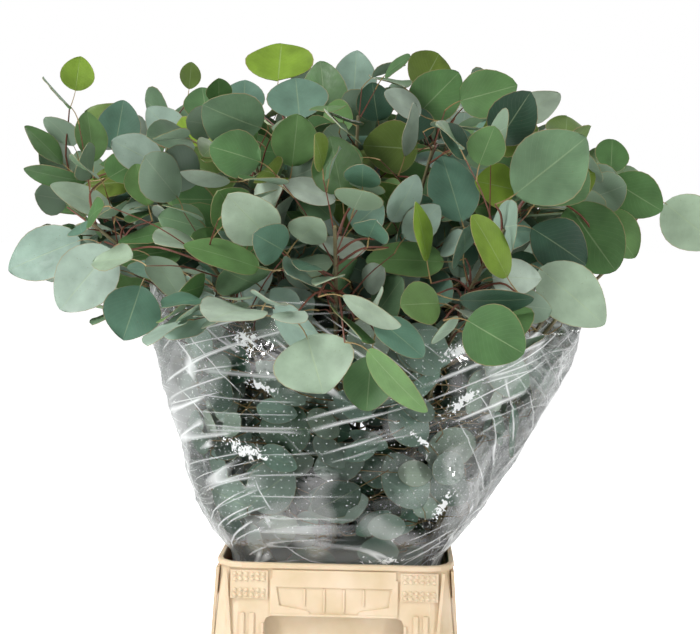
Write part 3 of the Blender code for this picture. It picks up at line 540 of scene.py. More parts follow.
def sleeve_point(angle, height, inset=0.0):
    half_x, half_y, shift = sleeve_size(height)
    open_share = min(max((height - 0.26) / 0.12, 0), 1)
    power = 2 / between(NECK_SQUARENESS, MOUTH_SQUARENESS, open_share)
    ripple = 1 + open_share * (0.012 * math.sin(5 * angle + 1) + 0.009 * math.sin(9 * angle + 30 * height))
    c, s = math.cos(angle), math.sin(angle)
    x = math.copysign(abs(c) ** power, c) * (half_x - inset) * ripple
    y = math.copysign(abs(s) ** power, s) * (half_y - inset) * ripple
    return Vector((x + shift, y, height))


def sleeve_skin():
    """Outer loops from the hem up to the mouth, then inner loops back down."""
    angles = [math.tau * k / SLEEVE_SECTORS for k in range(SLEEVE_SECTORS)]
    fixed = [station[0] for station in SLEEVE_STATIONS[:-2]]
    rows = [[(a, h) for a in angles] for h in fixed]
    for share in (0.5, 1.0):
        rows.append([(a, between(fixed[-1], sleeve_mouth(a), share)) for a in angles])
    loops = []
    for rows_in_order, inset in ((rows, -SLEEVE_FILM * 0.3), (reversed(rows), SLEEVE_FILM * 0.7)):
        for row in rows_in_order:
            loops.append([sleeve_point(a, h, inset) for a, h in row])
    return loft(loops, True, len(rows))


# %% Curves of stems
def stem_path(ring_row, turn, spread, rise):
    """Four points of the curve that a stem follows from the bucket's floor to its tip."""
    foot_radius, reach, tip_height = ring_row
    c, s = math.cos(turn), math.sin(turn)
    tip = Vector((CROWN_SHIFT + reach * c * CROWN_WIDER, reach * s, tip_height))
    foot = Vector((foot_radius * c, foot_radius * s * BUCKET_DEEPER, BUCKET_FLOOR + FOOT_LIFT))
    return (
        foot,
        Vector((foot.x * 1.15, foot.y * 1.15, 0.24)),
        Vector((tip.x * spread, tip.y * spread, between(foot.z, tip.z, rise))),
        tip,
    )


def along_curve(path, share):
    a, b, c, d = path
    rest = 1 - share
    return a * rest**3 + b * 3 * rest * rest * share + c * 3 * rest * share * share + d * share**3


def on_stem(path, share):
    """The point on the middle line of the stem's straight stretches."""
    stretch = min(int(share * STEM_SEGMENTS), STEM_SEGMENTS - 1)
    low, high = (along_curve(path, (stretch + e) / STEM_SEGMENTS) for e in (0, 1))
    return low.lerp(high, share * STEM_SEGMENTS - stretch)


def stem_solid(path, spare=0.0):
    shares = [k / STEM_SEGMENTS for k in range(STEM_SEGMENTS + 1)]
    radii = [between(*STEM_RADIUS, t) + spare for t in shares]
    return tube([along_curve(path, t) for t in shares], radii, 4, 0.4)


def twig_solid(points, spare=0.0):
    """A twig that runs a little past its last point, where the petiole of its end leaf is rooted."""
    radii = [between(*TWIG_RADIUS, k / (len(points) - 1)) + spare for k in range(len(points))]
    end = points[-1] + (points[-1] - points[-2]).normalized() * TWIG_RADIUS[1]
    return tube([*points[:-1], end], radii, 3, 0.9)


# %% Plain leaves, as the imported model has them
def blade_half(leaf, share):
    for low, high in zip(leaf["outline"], leaf["outline"][1:]):
        if share <= high[0]:
            return between(low[1], high[1], (share - low[0]) / (high[0] - low[0]))
    return 0.0


def blade_point(leaf, share, side):
    """Middle of the blade's thickness, at a share of its length and a side from -1 to 1."""
    half = leaf["width"] * blade_half(leaf, share) * side
    rise = leaf["fold"] * abs(half) - leaf["arch"] * leaf["length"] * share * share
    middle = leaf["base"] + leaf["along"] * (leaf["length"] * share)
    return middle + leaf["across"] * half + leaf["face"] * rise


def leaf_rows(leaf, thick):
    """Rows of (left, right, half thickness) from the petiole's root to the tip."""
    stalk = (leaf["base"] - leaf["root"]).normalized()
    side = square_to(stalk, leaf["across"]) * PETIOLE_ROOT_HALF
    half = thick / 2
    rows = [(leaf["root"] - side, leaf["root"] + side, stalk.cross(side).normalized() * half)]
    bend = (stalk + leaf["along"]).normalized()
    side = square_to(bend, leaf["across"]) * PETIOLE_HALF
    mitre = min(1 / max(bend.dot(stalk), 0.1), 1.8)
    rows.append((leaf["base"] - side, leaf["base"] + side, bend.cross(side).normalized() * half * mitre))
    for share, _ in leaf["outline"][1:-1]:
        rows.append((blade_point(leaf, share, -1), blade_point(leaf, share, 1), leaf["face"] * half))
    tip = blade_point(leaf, 1, 0)
    rows.append((tip, tip, leaf["face"] * half))
    return rows


def plate_solid(rows):
    """A thin plate through rows that end in a point, split alike on both faces."""
    flat = [(p, up) for left, right, up in rows[:-1] for p in (left, right)] + [(rows[-1][0], rows[-1][2])]
    points = [p + up for p, up in flat] + [p - up for p, up in flat]
    below = len(flat)
    last = 2 * len(rows) - 4
    top = []
    for k in range(0, last, 2):
        top += [(k, k + 1, k + 3), (k, k + 3, k + 2)]
    top.append((last, last + 1, last + 2))
    edge = [*range(0, last + 1, 2), last + 2, *range(last + 1, 0, -2)]
    faces = list(top) + [tuple(i + below for i in reversed(f)) for f in top]
    for i, j in zip(edge, edge[1:] + edge[:1]):
        faces += [(i, j, j + below), (i, j + below, i + below)]
    return points, faces


def leaf_solid(leaf, thick=LEAF_THICK):
    return plate_solid(leaf_rows(leaf, thick))


def blade_solid(leaf, thick):
    return plate_solid(leaf_rows(leaf, thick)[1:])


# %% [markdown]
# Leaves in a real bunch push each other aside. Here every new solid is tested against those that stand
# already, first by the balls round them, which is quick, and then face by face.

# %% What stands already
def ball_of(points):
    middle = sum(points, Vector()) / len(points)
    return middle, max((p - middle).length for p in points)


def is_clear(points, faces, passing=()):
    """True if this solid touches nothing that stands already, apart from what belongs to passing."""
    middle, radius = ball_of(points)
    tree = None
    for owner, other_middle, other_radius, other_tree in standing:
        if owner in passing or (middle - other_middle).length > radius + other_radius:
            continue
        tree = tree or BVHTree.FromPolygons(points, faces)
        if tree.overlap(other_tree):
            return False
    return True


def stand(owner, points, faces):
    middle, radius = ball_of(points)
    standing.append((owner, middle, radius, BVHTree.FromPolygons(points, faces)))


def stand_stem(number, path):
    """Keeps a stem in short stretches, so that far ones are passed over quickly."""
    for k in range(STEM_SEGMENTS):
        ends = [along_curve(path, (k + e) / STEM_SEGMENTS) for e in (0, 1)]
        stand(("stem", number), *tube(ends, [between(*STEM_RADIUS, k / STEM_SEGMENTS)] * 2, 4, 0.4))


# %% [markdown]
# The leaves that the eye knows the bunch by come first. Each is laid out from where its blade begins and ends
# in the picture, tilted until its length comes true, and given a twig from a stem that can reach it.

# %% Leading leaves and their twigs
def seen_at(pixel, depth):
    """The point at a depth that shows at a pixel of the front view."""
    right = pixel[0] - VIEW_MIDDLE_PX
    down = pixel[1] - VIEW_HORIZON_PX - right * math.sin(VIEW_ROLL)
    scale = (VIEW_DISTANCE + depth) / VIEW_FOCAL_PX
    middle = VIEW_SIDE - depth * math.tan(VIEW_YAW)
    return Vector((middle + right * scale, depth, VIEW_HEIGHT - down * scale))


def leading_leaf(row, shift):
    """A leaf laid out from its row of the front view, shifted a little in depth."""
    name, base_px, tip_px, depth, toward, roll, length, width = row
    base = seen_at(base_px, depth + shift)
    flat = seen_at(tip_px, depth + shift) - base
    length = max(length / 1000, flat.length * 1.01)
    tilt = math.acos(flat.length / length)
    along = flat.normalized() * math.cos(tilt) + TO_VIEWER * (toward * math.sin(tilt))
    face = (TO_VIEWER - along * TO_VIEWER.dot(along)).normalized()
    turn = math.radians(roll)
    face = (face * math.cos(turn) + along.cross(face) * math.sin(turn)).normalized()
    droop = Vector((0, 0.35, -0.25 if along.z > -0.3 else 0.5))
    stalk = (along + droop).normalized()
    return {
        "name": name, "base": base, "root": base - stalk * 0.024, "along": along, "face": face,
        "across": face.cross(along), "length": length, "width": width / 1000,
        "arch": 0.08, "fold": 0.10, "outline": BLADE_OUTLINE,
    }


def twig_to(path, share, root, lift=0.35):
    """Three points of a twig that leaves a stem at a share of its curve and ends at a petiole's root."""
    start = on_stem(path, share)
    ahead = (along_curve(path, min(share + 0.05, 1)) - along_curve(path, share - 0.05)).normalized()
    gap = root - start
    middle = start + gap * 0.5 + ahead * (gap.length * lift * 0.5)
    return [start, middle, root]


def carriers_for(root, paths):
    """Stems and shares that could carry a twig to root, best first."""
    found = []
    for number, path in enumerate(paths):
        for step in range(18):
            share = 0.48 + 0.03 * step
            start = along_curve(path, share)
            gap = (root - start).length
            if TWIG_REACH[0] < gap < TWIG_REACH[1]:
                found.append((gap + 0.6 * max(0.0, start.z - root.z + 0.01), number, share))
    return [(number, share) for _, number, share in sorted(found)]


def add_leaf(plan, number, leaf):
    plan[number]["leaves"].append(leaf)
    stand(("leaf", number), *leaf_solid(leaf, LEAF_THICK + 2 * CLEARANCE))


def add_twig(plan, number, points):
    plan[number]["twigs"].append(points)
    stand(("twig", number), *twig_solid(points))


def grow_leading(plan, paths):
    """Leading leaves come first, each on a twig of its own from the nearest stem that can reach it."""
    missed = []
    for row in LEADING_LEAVES:
        done = False
        for shift in (0, -0.012, 0.012, -0.024, 0.024, -0.04, 0.04, 0.06):
            leaf = leading_leaf(row, shift)
            if not is_clear(*leaf_solid(leaf, SPARE * 2)):
                continue
            for number, share in carriers_for(leaf["root"], paths)[:40]:
                points = twig_to(paths[number], share, leaf["root"])
                if is_clear(*twig_solid(points, SPARE / 2), passing={("stem", number), ("twig", number)}):
                    add_twig(plan, number, points)
                    add_leaf(plan, number, leaf)
                    done = True
                    break
            if done:
                break
        if not done:
            missed.append(row[0])
    return missed


# %% [markdown]
# The rest grow as on a real stem: side twigs go round by the golden angle, and leaves stand on alternate
# sides with one at the end. Inside the film they lie against it on longer petioles.

# %% Leaves by rule
def hides_leading(leaf, plan):
    """True if a leaf would hang in front of a leading one."""
    middle = leaf["base"] + leaf["along"] * (leaf["length"] / 2)
    for stem in plan:
        for other in stem["leaves"]:
            if "name" not in other:
                continue
            apart = other["base"] + other["along"] * (other["length"] / 2) - middle
            near = 0.5 * (leaf["width"] + other["width"])
            if apart.y > 0 and math.hypot(apart.x, apart.z) < near * 0.85:
                return True
    return False


def free_leaf(root, heading, outward, size, stalk_length):
    """A leaf on a petiole from root: its blade droops a little, and its face turns outward and up."""
    stalk = (heading + Vector([draw.uniform(-0.25, 0.25) for _ in range(3)])).normalized()
    base = root + stalk * stalk_length
    along = (stalk + Vector((0, 0, -0.25)) + outward * 0.15).normalized()
    face = outward * draw.uniform(0.2, 1.0) + UP * draw.uniform(-0.1, 0.9)
    face += Vector([draw.uniform(-0.6, 0.6) for _ in range(3)])
    face = (face - along * face.dot(along)).normalized()
    return {
        "base": base, "root": root, "along": along, "face": face, "across": face.cross(along),
        "length": size, "width": size * draw.uniform(0.78, 1.02), "arch": draw.uniform(0.02, 0.20),
        "fold": draw.uniform(0.02, 0.22), "outline": PLAIN_OUTLINE,
    }


def inside_crown(point):
    """True under the crown's outline, which peaks left of the middle and falls away to both sides."""
    aside = point.x - CROWN_PEAK[0]
    level = math.hypot((point.x - CROWN_SHIFT) / CROWN_HALF[0], point.y / CROWN_HALF[1])
    return level < 1 and point.z < CROWN_PEAK[1] - CROWN_FALL * aside * aside


def lowest_outside(x):
    """How low a leaf may hang outside the film: lowest in the middle, and higher on the right."""
    return LOWEST_OUTSIDE + max(abs(x) - 0.2, 0) * (1.0 if x > 0 else 0.25)


def bends_gently(leaf):
    """True if the petiole meets the blade at no sharp turn."""
    stalk = (leaf["base"] - leaf["root"]).normalized()
    return stalk.dot(leaf["along"]) > -0.1 and abs(stalk.dot(leaf["across"])) < 0.35


def try_leaf(plan, number, make, tries):
    """Adds the first of several tries that is clear and hides no leading leaf."""
    own = {("stem", number), ("twig", number)}
    for _ in range(tries):
        leaf = make()
        if hides_leading(leaf, plan) or not bends_gently(leaf):
            continue
        if not all(inside_crown(p) for p in leaf_solid(leaf)[0]):
            continue
        if "pressed" not in leaf and any(p.z < lowest_outside(p.x) for p in leaf_solid(leaf)[0]):
            continue
        if is_clear(*blade_solid(leaf, SPARE * 2)) and is_clear(*leaf_solid(leaf, SPARE), passing=own):
            add_leaf(plan, number, leaf)
            return True
    return False


def outward_of(point):
    """Level direction from the bunch's middle line."""
    flat = Vector((point.x - CROWN_SHIFT, point.y, 0))
    return flat.normalized() if flat.length > 1e-6 else Vector((1, 0, 0))


def grow_pressed(plan, paths):
    """Leaves inside the sleeve, on long petioles straight from the outer stems, laid against the film."""
    first_outer = RINGS[0][0] + RINGS[1][0]
    for number in range(first_outer, len(paths)):
        for k in range(PRESSED_EACH):
            share = 0.42 + 0.14 * k + draw.uniform(-0.02, 0.02)
            root = on_stem(paths[number], share)

            def make():
                turn = math.atan2(root.y, root.x - CROWN_SHIFT) + draw.uniform(-0.12, 0.12)
                base = sleeve_point(turn, root.z + draw.uniform(-0.005, 0.030), draw.uniform(0.009, 0.020))
                outward = outward_of(base)
                spin = draw.uniform(0, math.tau)
                along = outward.cross(UP) * math.cos(spin) + UP * math.sin(spin) * 0.8 - outward * 0.22
                along.normalize()
                face = square_to(along, outward)
                size = draw.uniform(0.055, 0.075)
                return {
                    "base": base, "root": root, "along": along, "face": face, "across": face.cross(along),
                    "length": size, "width": size * draw.uniform(0.78, 0.98), "arch": 0.12, "fold": -0.10,
                    "outline": PLAIN_OUTLINE, "pressed": True,
                }

            try_leaf(plan, number, make, 30)


def on_twig(points, place):
    """The point at a share of a twig's length, counted evenly over its stretches."""
    stretches = len(points) - 1
    stretch = min(int(place * stretches), stretches - 1)
    return points[stretch].lerp(points[stretch + 1], place * stretches - stretch)


def leaves_up(plan, number, points, places):
    """Alternate leaves at places along a twig, each a share of its length and a turn to a side."""
    grown_here = 0
    heading = (points[-1] - points[0]).normalized()
    for place, turn in places:
        spot = on_twig(points, place)
        aim = (heading + heading.cross(UP).normalized() * (turn * 0.9)).normalized()
        size = draw.uniform(0.055, 0.082)
        grown_here += try_leaf(
            plan, number,
            lambda: free_leaf(spot, aim, outward_of(spot), size, draw.uniform(0.016, 0.028)), 14,
        )
    return grown_here


def grow_crown(plan, paths):
    """Side twigs by the golden angle up each stem, with alternate leaves and one at the end."""
    for number, path in enumerate(paths):
        spin = draw.uniform(0, math.tau)
        for k in range(TWIGS_EACH):
            share = between(0.66, 0.97, k / (TWIGS_EACH - 1))
            start = on_stem(path, share)
            ahead = (along_curve(path, min(share + 0.05, 1)) - along_curve(path, share - 0.05)).normalized()
            side = ahead.orthogonal().normalized()
            other = ahead.cross(side)
            for attempt in range(9):
                angle = spin + attempt * math.radians(40)
                lean = side * math.cos(angle) + other * math.sin(angle)
                heading = (ahead * 0.75 + lean + outward_of(start) * 0.35 + UP * 0.25).normalized()
                length = draw.uniform(0.055, 0.095)
                points = [start, start + heading * length]
                if is_clear(*twig_solid(points, SPARE / 2), passing={("stem", number), ("twig", number)}):
                    break
            else:
                continue
            spin += GOLDEN_ANGLE
            add_twig(plan, number, points)
            grown_here = leaves_up(plan, number, points, ((1.0, 0), (0.55, 1), (0.80, -1)))
            if not grown_here:
                plan[number]["twigs"].pop()


# %% The whole plan
def grow_stems():
    """Curves of all the stems, each turned or drawn in until it is clear of the others and of the film."""
    paths = []
    for ring, (count, *row) in enumerate(RINGS):
        for k in range(count):
            turn = math.tau * (k + 0.5 * ring) / count + draw.uniform(-0.08, 0.08) - math.pi / 2
            lower = 0.045 * (k % 2) if ring == 2 else 0.02 * (k % 3)
            for attempt in range(90):
                aside = (attempt % 5 - 2) * 0.03
                spread = 0.62 - 0.04 * (attempt // 5 % 6)
                rise = 0.82 + 0.09 * (attempt // 30)
                height = row[2] - lower + 0.015 * (attempt // 30)
                path = stem_path((row[0], row[1], height), turn + aside, spread, rise)
                if is_clear(*stem_solid(path, SPARE)):
                    break
            stand_stem(len(paths), path)
            paths.append(path)
    return paths


def grow_bunch():
    """The whole plan: for each stem its curve, its twigs and its leaves."""
    stand("sleeve", *sleeve_skin())
    paths = grow_stems()
    plan = [{"path": path, "twigs": [], "leaves": []} for path in paths]
    missed = grow_leading(plan, paths)
    for number, stem in enumerate(plan):
        for points in list(stem["twigs"]):
            turn = draw.choice((-1, 1))
            if (points[-1] - points[0]).length > 0.08:
                leaves_up(plan, number, points, ((0.62, turn),))
    grow_pressed(plan, paths)
    grow_crown(plan, paths)
    return plan, missed


plan, missed = grow_bunch()
print(sum(len(stem["leaves"]) for stem in plan), "leaves as in the packed model, left out:", missed)

# %% [markdown]
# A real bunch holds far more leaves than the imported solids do. Finer twigs are added to every stem, each with
# alternate leaves, and close most of the gaps, as in the picture. Inside the film more leaves lie close
# behind it, and smaller ones fill the dark middle.

# %% Filling leaves
FILL_TWIGS = 30
FILL_TWIG_LENGTH = (0.07, 0.13)
FILL_TWIG_RADIUS = (0.0011, 0.0006)
FILL_PLACES = ((0.98, 0), (0.3, -1), (0.48, 1), (0.66, -1), (0.84, 1))
FILL_LEAF = (0.042, 0.074)
FILL_STALK = (0.012, 0.026)
FILL_SPARE = 0.0004
CROWN_FROM = 0.56
# Behind the film: leaves near it and in the core for each stem, their lengths, how deep the core's leaves
# lie, the longest petiole, and how far the right edge stays clear
SLEEVE_LEAVES = 100
CORE_LEAVES = 90
SLEEVE_LEAF = (0.040, 0.066)
CORE_LEAF = (0.036, 0.052)
CORE_DEPTHS = (0.05, 0.10)
LONGEST_STALK = 0.085
CLEAR_EDGE = 0.055
FILM_DEPTHS = (0.006, 0.013, 0.021, 0.031, 0.044, 0.060)
BOX_SPARE = 0.004
fill = random.Random(SEED + 1)


def fits(leaf):
    """True if a filling leaf clears every leaf and the film; it may touch twigs and stems."""
    if hides_leading(leaf, plan) or not bends_gently(leaf):
        return False
    solid = leaf_solid(leaf, FILL_SPARE)
    if leaf["base"].z > CROWN_FROM and not all(inside_crown(p) for p in solid[0]):
        return False
    if not all(low + BOX_SPARE < c < high - BOX_SPARE for p in solid[0] for c, low, high in zip(p, *cad_box)):
        return False
    if "pressed" not in leaf and any(p.z < lowest_outside(p.x) for p in solid[0]):
        return False
    middle, radius = ball_of(solid[0])
    tree = None
    for owner, other_middle, other_radius, other_tree in standing:
        if owner[0] in ("stem", "twig") or (middle - other_middle).length > radius + other_radius:
            continue
        tree = tree or BVHTree.FromPolygons(*solid)
        if tree.overlap(other_tree):
            return False
    return True


def filling_leaf(root, heading, outward, size, stalk_length):
    """Like a free leaf, with the filling's own random numbers and a wider choice of directions."""
    stalk = (heading + Vector([fill.uniform(-0.3, 0.3) for _ in range(3)])).normalized()
    along = (stalk + Vector((0, 0, -0.3)) + outward * 0.2).normalized()
    face = outward * fill.uniform(0.1, 1.0) + UP * fill.uniform(-0.2, 1.0)
    face += Vector([fill.uniform(-0.7, 0.7) for _ in range(3)])
    face = square_to(along, face)
    return {
        "base": root + stalk * stalk_length, "root": root, "along": along, "face": face,
        "across": face.cross(along), "length": size, "width": size * fill.uniform(0.76, 1.0),
        "arch": fill.uniform(0.02, 0.22), "fold": fill.uniform(0.02, 0.2), "outline": PLAIN_OUTLINE,
    }


def keep(number, leaf):
    plan[number]["filling"].append(leaf)
    stand(("leaf", number), *leaf_solid(leaf, FILL_SPARE))


def fill_crown(number, path):
    """Fine curved twigs up the top half of a stem, with leaves all the way along."""
    spin = fill.uniform(0, math.tau)
    for k in range(FILL_TWIGS):
        share = between(0.50, 1.0, (k + fill.random()) / FILL_TWIGS)
        start = on_stem(path, share)
        ahead = (along_curve(path, min(share + 0.05, 1)) - along_curve(path, share - 0.05)).normalized()
        side = ahead.orthogonal().normalized()
        spin += GOLDEN_ANGLE
        lean = side * math.cos(spin) + ahead.cross(side) * math.sin(spin)
        heading = (ahead * 0.6 + lean + outward_of(start) * 0.3 + UP * 0.25).normalized()
        length = fill.uniform(*FILL_TWIG_LENGTH)
        points = [start, start + heading * (length / 2) + UP * 0.006, start + heading * length - UP * 0.004]
        reached = 0.0
        for place, turn in FILL_PLACES:
            spot = on_twig(points, place)
            sideways = heading.cross(UP).normalized() * turn
            for _ in range(9):
                size = fill.uniform(*FILL_LEAF)
                aimed = (heading + sideways * fill.uniform(0.5, 1.2)).normalized()
                leaf = filling_leaf(spot, aimed, outward_of(spot), size, fill.uniform(*FILL_STALK))
                if fits(leaf):
                    keep(number, leaf)
                    reached = max(reached, place)
                    break
        if reached:
            plan[number]["fine_twigs"].append([on_twig(points, reached * part) for part in (0.0, 0.5, 1.0)])


def fill_sleeve(number, path):
    """Leaves on petioles from the stem's middle, most close behind the film and some in the dark core."""
    for k in range(SLEEVE_LEAVES + CORE_LEAVES):
        share = between(0.31, 0.74, fill.random())
        root = on_stem(path, share)
        near_film = k < SLEEVE_LEAVES
        for _ in range(12):
            turn = math.atan2(root.y, root.x - CROWN_SHIFT) + fill.uniform(-0.5, 0.5)
            depth = fill.choice(FILM_DEPTHS) if near_film else fill.uniform(*CORE_DEPTHS)
            base = sleeve_point(turn, root.z + fill.uniform(-0.03, 0.05), depth)
            if near_film and base.x > sleeve_point(0.0, base.z, CLEAR_EDGE).x:
                continue
            if (base - root).length > LONGEST_STALK:
                base = root + (base - root).normalized() * LONGEST_STALK
            outward = outward_of(base)
            spin = fill.choice((0, math.pi)) + fill.uniform(-0.8, 0.8)
            along = outward.cross(UP) * math.cos(spin) + UP * math.sin(spin) - outward * 0.2
            along.normalize()
            wild = 0.20 if near_film else 0.8
            face = outward + UP * fill.uniform(-0.9, 0.9)
            face = square_to(along, face + Vector([fill.uniform(-wild, wild) for _ in range(3)]))
            size = fill.uniform(*(SLEEVE_LEAF if near_film else CORE_LEAF))
            leaf = {
                "base": base, "root": root, "along": along, "face": face, "across": face.cross(along),
                "length": size, "width": size * fill.uniform(0.52, 0.85), "arch": 0.12, "fold": -0.08,
                "outline": PLAIN_OUTLINE, "pressed": True, "core": not near_film,
            }
            if fits(leaf):
                keep(number, leaf)
                break


for stem in plan:
    stem["filling"] = []
    stem["fine_twigs"] = []
for number, stem in enumerate(plan):
    fill_sleeve(number, stem["path"])
for number, stem in enumerate(plan):
    fill_crown(number, stem["path"])
print(sum(len(stem["filling"]) for stem in plan), "filling leaves")

# %% [markdown]
# Eucalyptus leaves are waxy. The upper side runs from deep blue-green through grey-green to a fresh lime on
# young leaves; the underside is paler and duller. A pale midrib, fine arched side veins and a thin pinkish
# margin are drawn along the leaf's own UV map, so they follow the blade however it is bent.

# %% Leaf colours
# The first tone, near black, is painted shade for the core's leaves; the others are the leaves' own colours
TONES = (
    ("painted_shade", "#18241e"), ("deep", "#2b4837"), ("blue", "#5f8470"), ("silver", "#8da698"),
    ("under", "#bccabb"), ("pale", "#a0b59b"), ("sage", "#93a699"), ("dusk", "#4d6258"), ("moss", "#6b8a66"),
    ("green", "#4b7040"), ("light", "#6d9258"), ("olive", "#5c6f2c"), ("lime", "#82a136"),
)
TONE_AT = {name: k / (len(TONES) - 1) for k, (name, _) in enumerate(TONES)}
VEIN_SPACING_MM = 5.5
VEIN_SLANT = 0.85
LEAF_LENGTH_MM = 66
FLECK_MM = 1.2
MOTTLE_MM = 24
WAX_MM = 6.25
LEAF_IOR = 1.42


def reckon(tree, operation, *values):
    """One step of arithmetic on masks and numbers."""
    return add_node(tree, "ShaderNodeMath", dict(enumerate(values)), operation=operation).outputs[0]


def mixed(tree, share, first, second):
    """One colour laid over another by a share, which is a number or a mask."""
    return add_node(tree, "ShaderNodeMix", {0: share, 6: first, 7: second}, data_type="RGBA").outputs[2]


def tone_colour(tree):
    """The leaf's own colour, from its tone, with a slow mottling and a few brown flecks."""
    tone = add_node(tree, "ShaderNodeAttribute", attribute_name="tone")
    ramp = add_node(tree, "ShaderNodeValToRGB", {"Fac": tone.outputs["Fac"]})
    ramp.color_ramp.elements[0].color = linear(TONES[0][1])
    ramp.color_ramp.elements[-1].color = linear(TONES[-1][1])
    for name, colour in TONES[1:-1]:
        ramp.color_ramp.elements.new(TONE_AT[name]).color = linear(colour)
    spot = add_node(tree, "ShaderNodeTexCoord").outputs["Object"]
    value = ranged(tree, noisy(tree, spot, 1000 / MOTTLE_MM, 3.0), 0.25, 0.75, 0.74, 1.16)
    own = add_node(tree, "ShaderNodeHueSaturation", {"Color": ramp.outputs["Color"], "Value": value})
    few = ranged(tree, noisy(tree, spot, 1000 / FLECK_MM, 1.0), 0.74, 0.78, 0.0, 0.7)
    return mixed(tree, few, own.outputs["Color"], linear("#6b4a2c")), spot


def vein_masks(tree):
    """Masks from 0 to 1 for the midrib, the side veins and the margin, from the leaf's UV map."""
    uv = add_node(tree, "ShaderNodeUVMap", uv_map="leaf").outputs[0]
    parts = add_node(tree, "ShaderNodeSeparateXYZ", {0: uv})
    aside = reckon(tree, "ABSOLUTE", reckon(tree, "SUBTRACT", parts.outputs["X"], 0.5))
    midrib = ranged(tree, aside, 0.004, 0.016, 1.0, 0.0)
    margin = ranged(tree, aside, 0.484, 0.493, 0.0, 1.0)
    slanted = reckon(tree, "ADD", parts.outputs["Y"], reckon(tree, "MULTIPLY", aside, -VEIN_SLANT))
    turns = LEAF_LENGTH_MM / VEIN_SPACING_MM * math.tau
    wave = reckon(tree, "COSINE", reckon(tree, "MULTIPLY", slanted, turns))
    return midrib, ranged(tree, wave, 0.90, 1.0, 0.0, 1.0), margin


# %% Waxy leaf, upper side and underside
def waxy_leaf(name, bloom, rib, side_share, rib_share, roughness):
    """A eucalyptus leaf's skin: bloom is how much pale wax lies over the green."""
    material, tree = empty_material(name)
    green, spot = tone_colour(tree)
    midrib, side, margin = vein_masks(tree)
    colour = mixed(tree, bloom, green, linear("#b4c8b8"))
    colour = mixed(tree, reckon(tree, "MULTIPLY", side, side_share), colour, linear(rib))
    colour = mixed(tree, reckon(tree, "MULTIPLY", midrib, rib_share), colour, linear(rib))
    colour = mixed(tree, reckon(tree, "MULTIPLY", margin, 0.6), colour, linear("#a98d68"))
    raised = reckon(tree, "ADD", reckon(tree, "MULTIPLY", side, 0.4), midrib)
    relief = add_node(tree, "ShaderNodeBump", {"Strength": 0.35, "Distance": 0.0004, "Height": raised})
    wax = noisy(tree, spot, 1000 / WAX_MM, 3.0)
    gloss = ranged(tree, wax, 0.3, 0.7, roughness - 0.07, roughness + 0.09)
    skin = add_node(tree, "ShaderNodeBsdfPrincipled", {
        "Base Color": colour, "Roughness": gloss, "IOR": LEAF_IOR, "Normal": relief.outputs["Normal"]})
    sunlit = mixed(tree, 0.45, colour, linear("#9ccc3c"))
    glow = add_node(tree, "ShaderNodeBsdfTranslucent", {"Color": sunlit})
    leaf = add_node(tree, "ShaderNodeMixShader", {0: 0.16, 1: skin.outputs[0], 2: glow.outputs[0]})
    add_node(tree, "ShaderNodeOutputMaterial", {"Surface": leaf.outputs[0]})
    return material


def twig_bark(name, young, old, grain_mm):
    """Twig skin, smooth and waxy, mottled by noise in Object space between its young and its old colour."""
    material, tree = empty_material(name)
    spot = add_node(tree, "ShaderNodeTexCoord").outputs["Object"]
    tint = mixed(tree, noisy(tree, spot, 1000 / grain_mm, 4.0), linear(old), linear(young))
    bark = add_node(tree, "ShaderNodeBsdfPrincipled", {"Base Color": tint, "Roughness": 0.5, "IOR": 1.45})
    add_node(tree, "ShaderNodeOutputMaterial", {"Surface": bark.outputs[0]})
    return material


leaf_upper = waxy_leaf("waxy eucalyptus leaf, upper side", 0.0, "#aebf92", 0.05, 0.30, 0.46)
leaf_under = waxy_leaf("waxy eucalyptus leaf, underside", 0.50, "#c6d2b6", 0.08, 0.34, 0.58)
petiole_skin = twig_bark("yellow-green petiole", "#9c9258", "#7f5540", 3.0)
twig_skin = twig_bark("red-brown young twig", "#7c4b38", "#4f2a22", 2.2)
stem_skin = twig_bark("grey-green stem bark", "#7b7a58", "#5e4a38", 4.0)
SKINS = (leaf_upper, leaf_under, petiole_skin, twig_skin, stem_skin)
UPPER, UNDER, PETIOLE, TWIG, STEM = range(len(SKINS))

# %% [markdown]
# A fine leaf is a closed plate half a millimetre thick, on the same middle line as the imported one. Its
# outline is one smooth formula, rounder or more pointed from leaf to leaf, and its margin waves a little.
# Leading leaves get more rows of faces than the many that fill the bunch.

# %% Fine leaf
FINE_THICK = 0.0005
FRONT_ROWS = (0.0, 0.035, 0.09, 0.16, 0.25, 0.36, 0.48, 0.60, 0.71, 0.81, 0.89, 0.95, 0.985, 1.0)
FRONT_COLUMNS = (-1.0, -0.62, -0.28, 0.0, 0.28, 0.62, 1.0)
FILL_ROWS = (0.0, 0.05, 0.14, 0.27, 0.42, 0.58, 0.73, 0.86, 0.95, 1.0)
FILL_COLUMNS = (-1.0, -0.5, 0.0, 0.5, 1.0)
CORE_ROWS = (0.0, 0.10, 0.30, 0.55, 0.80, 1.0)
CORE_COLUMNS = (-1.0, 0.0, 1.0)
PETIOLE_RADIUS = 0.00075
looks = random.Random(SEED + 2)


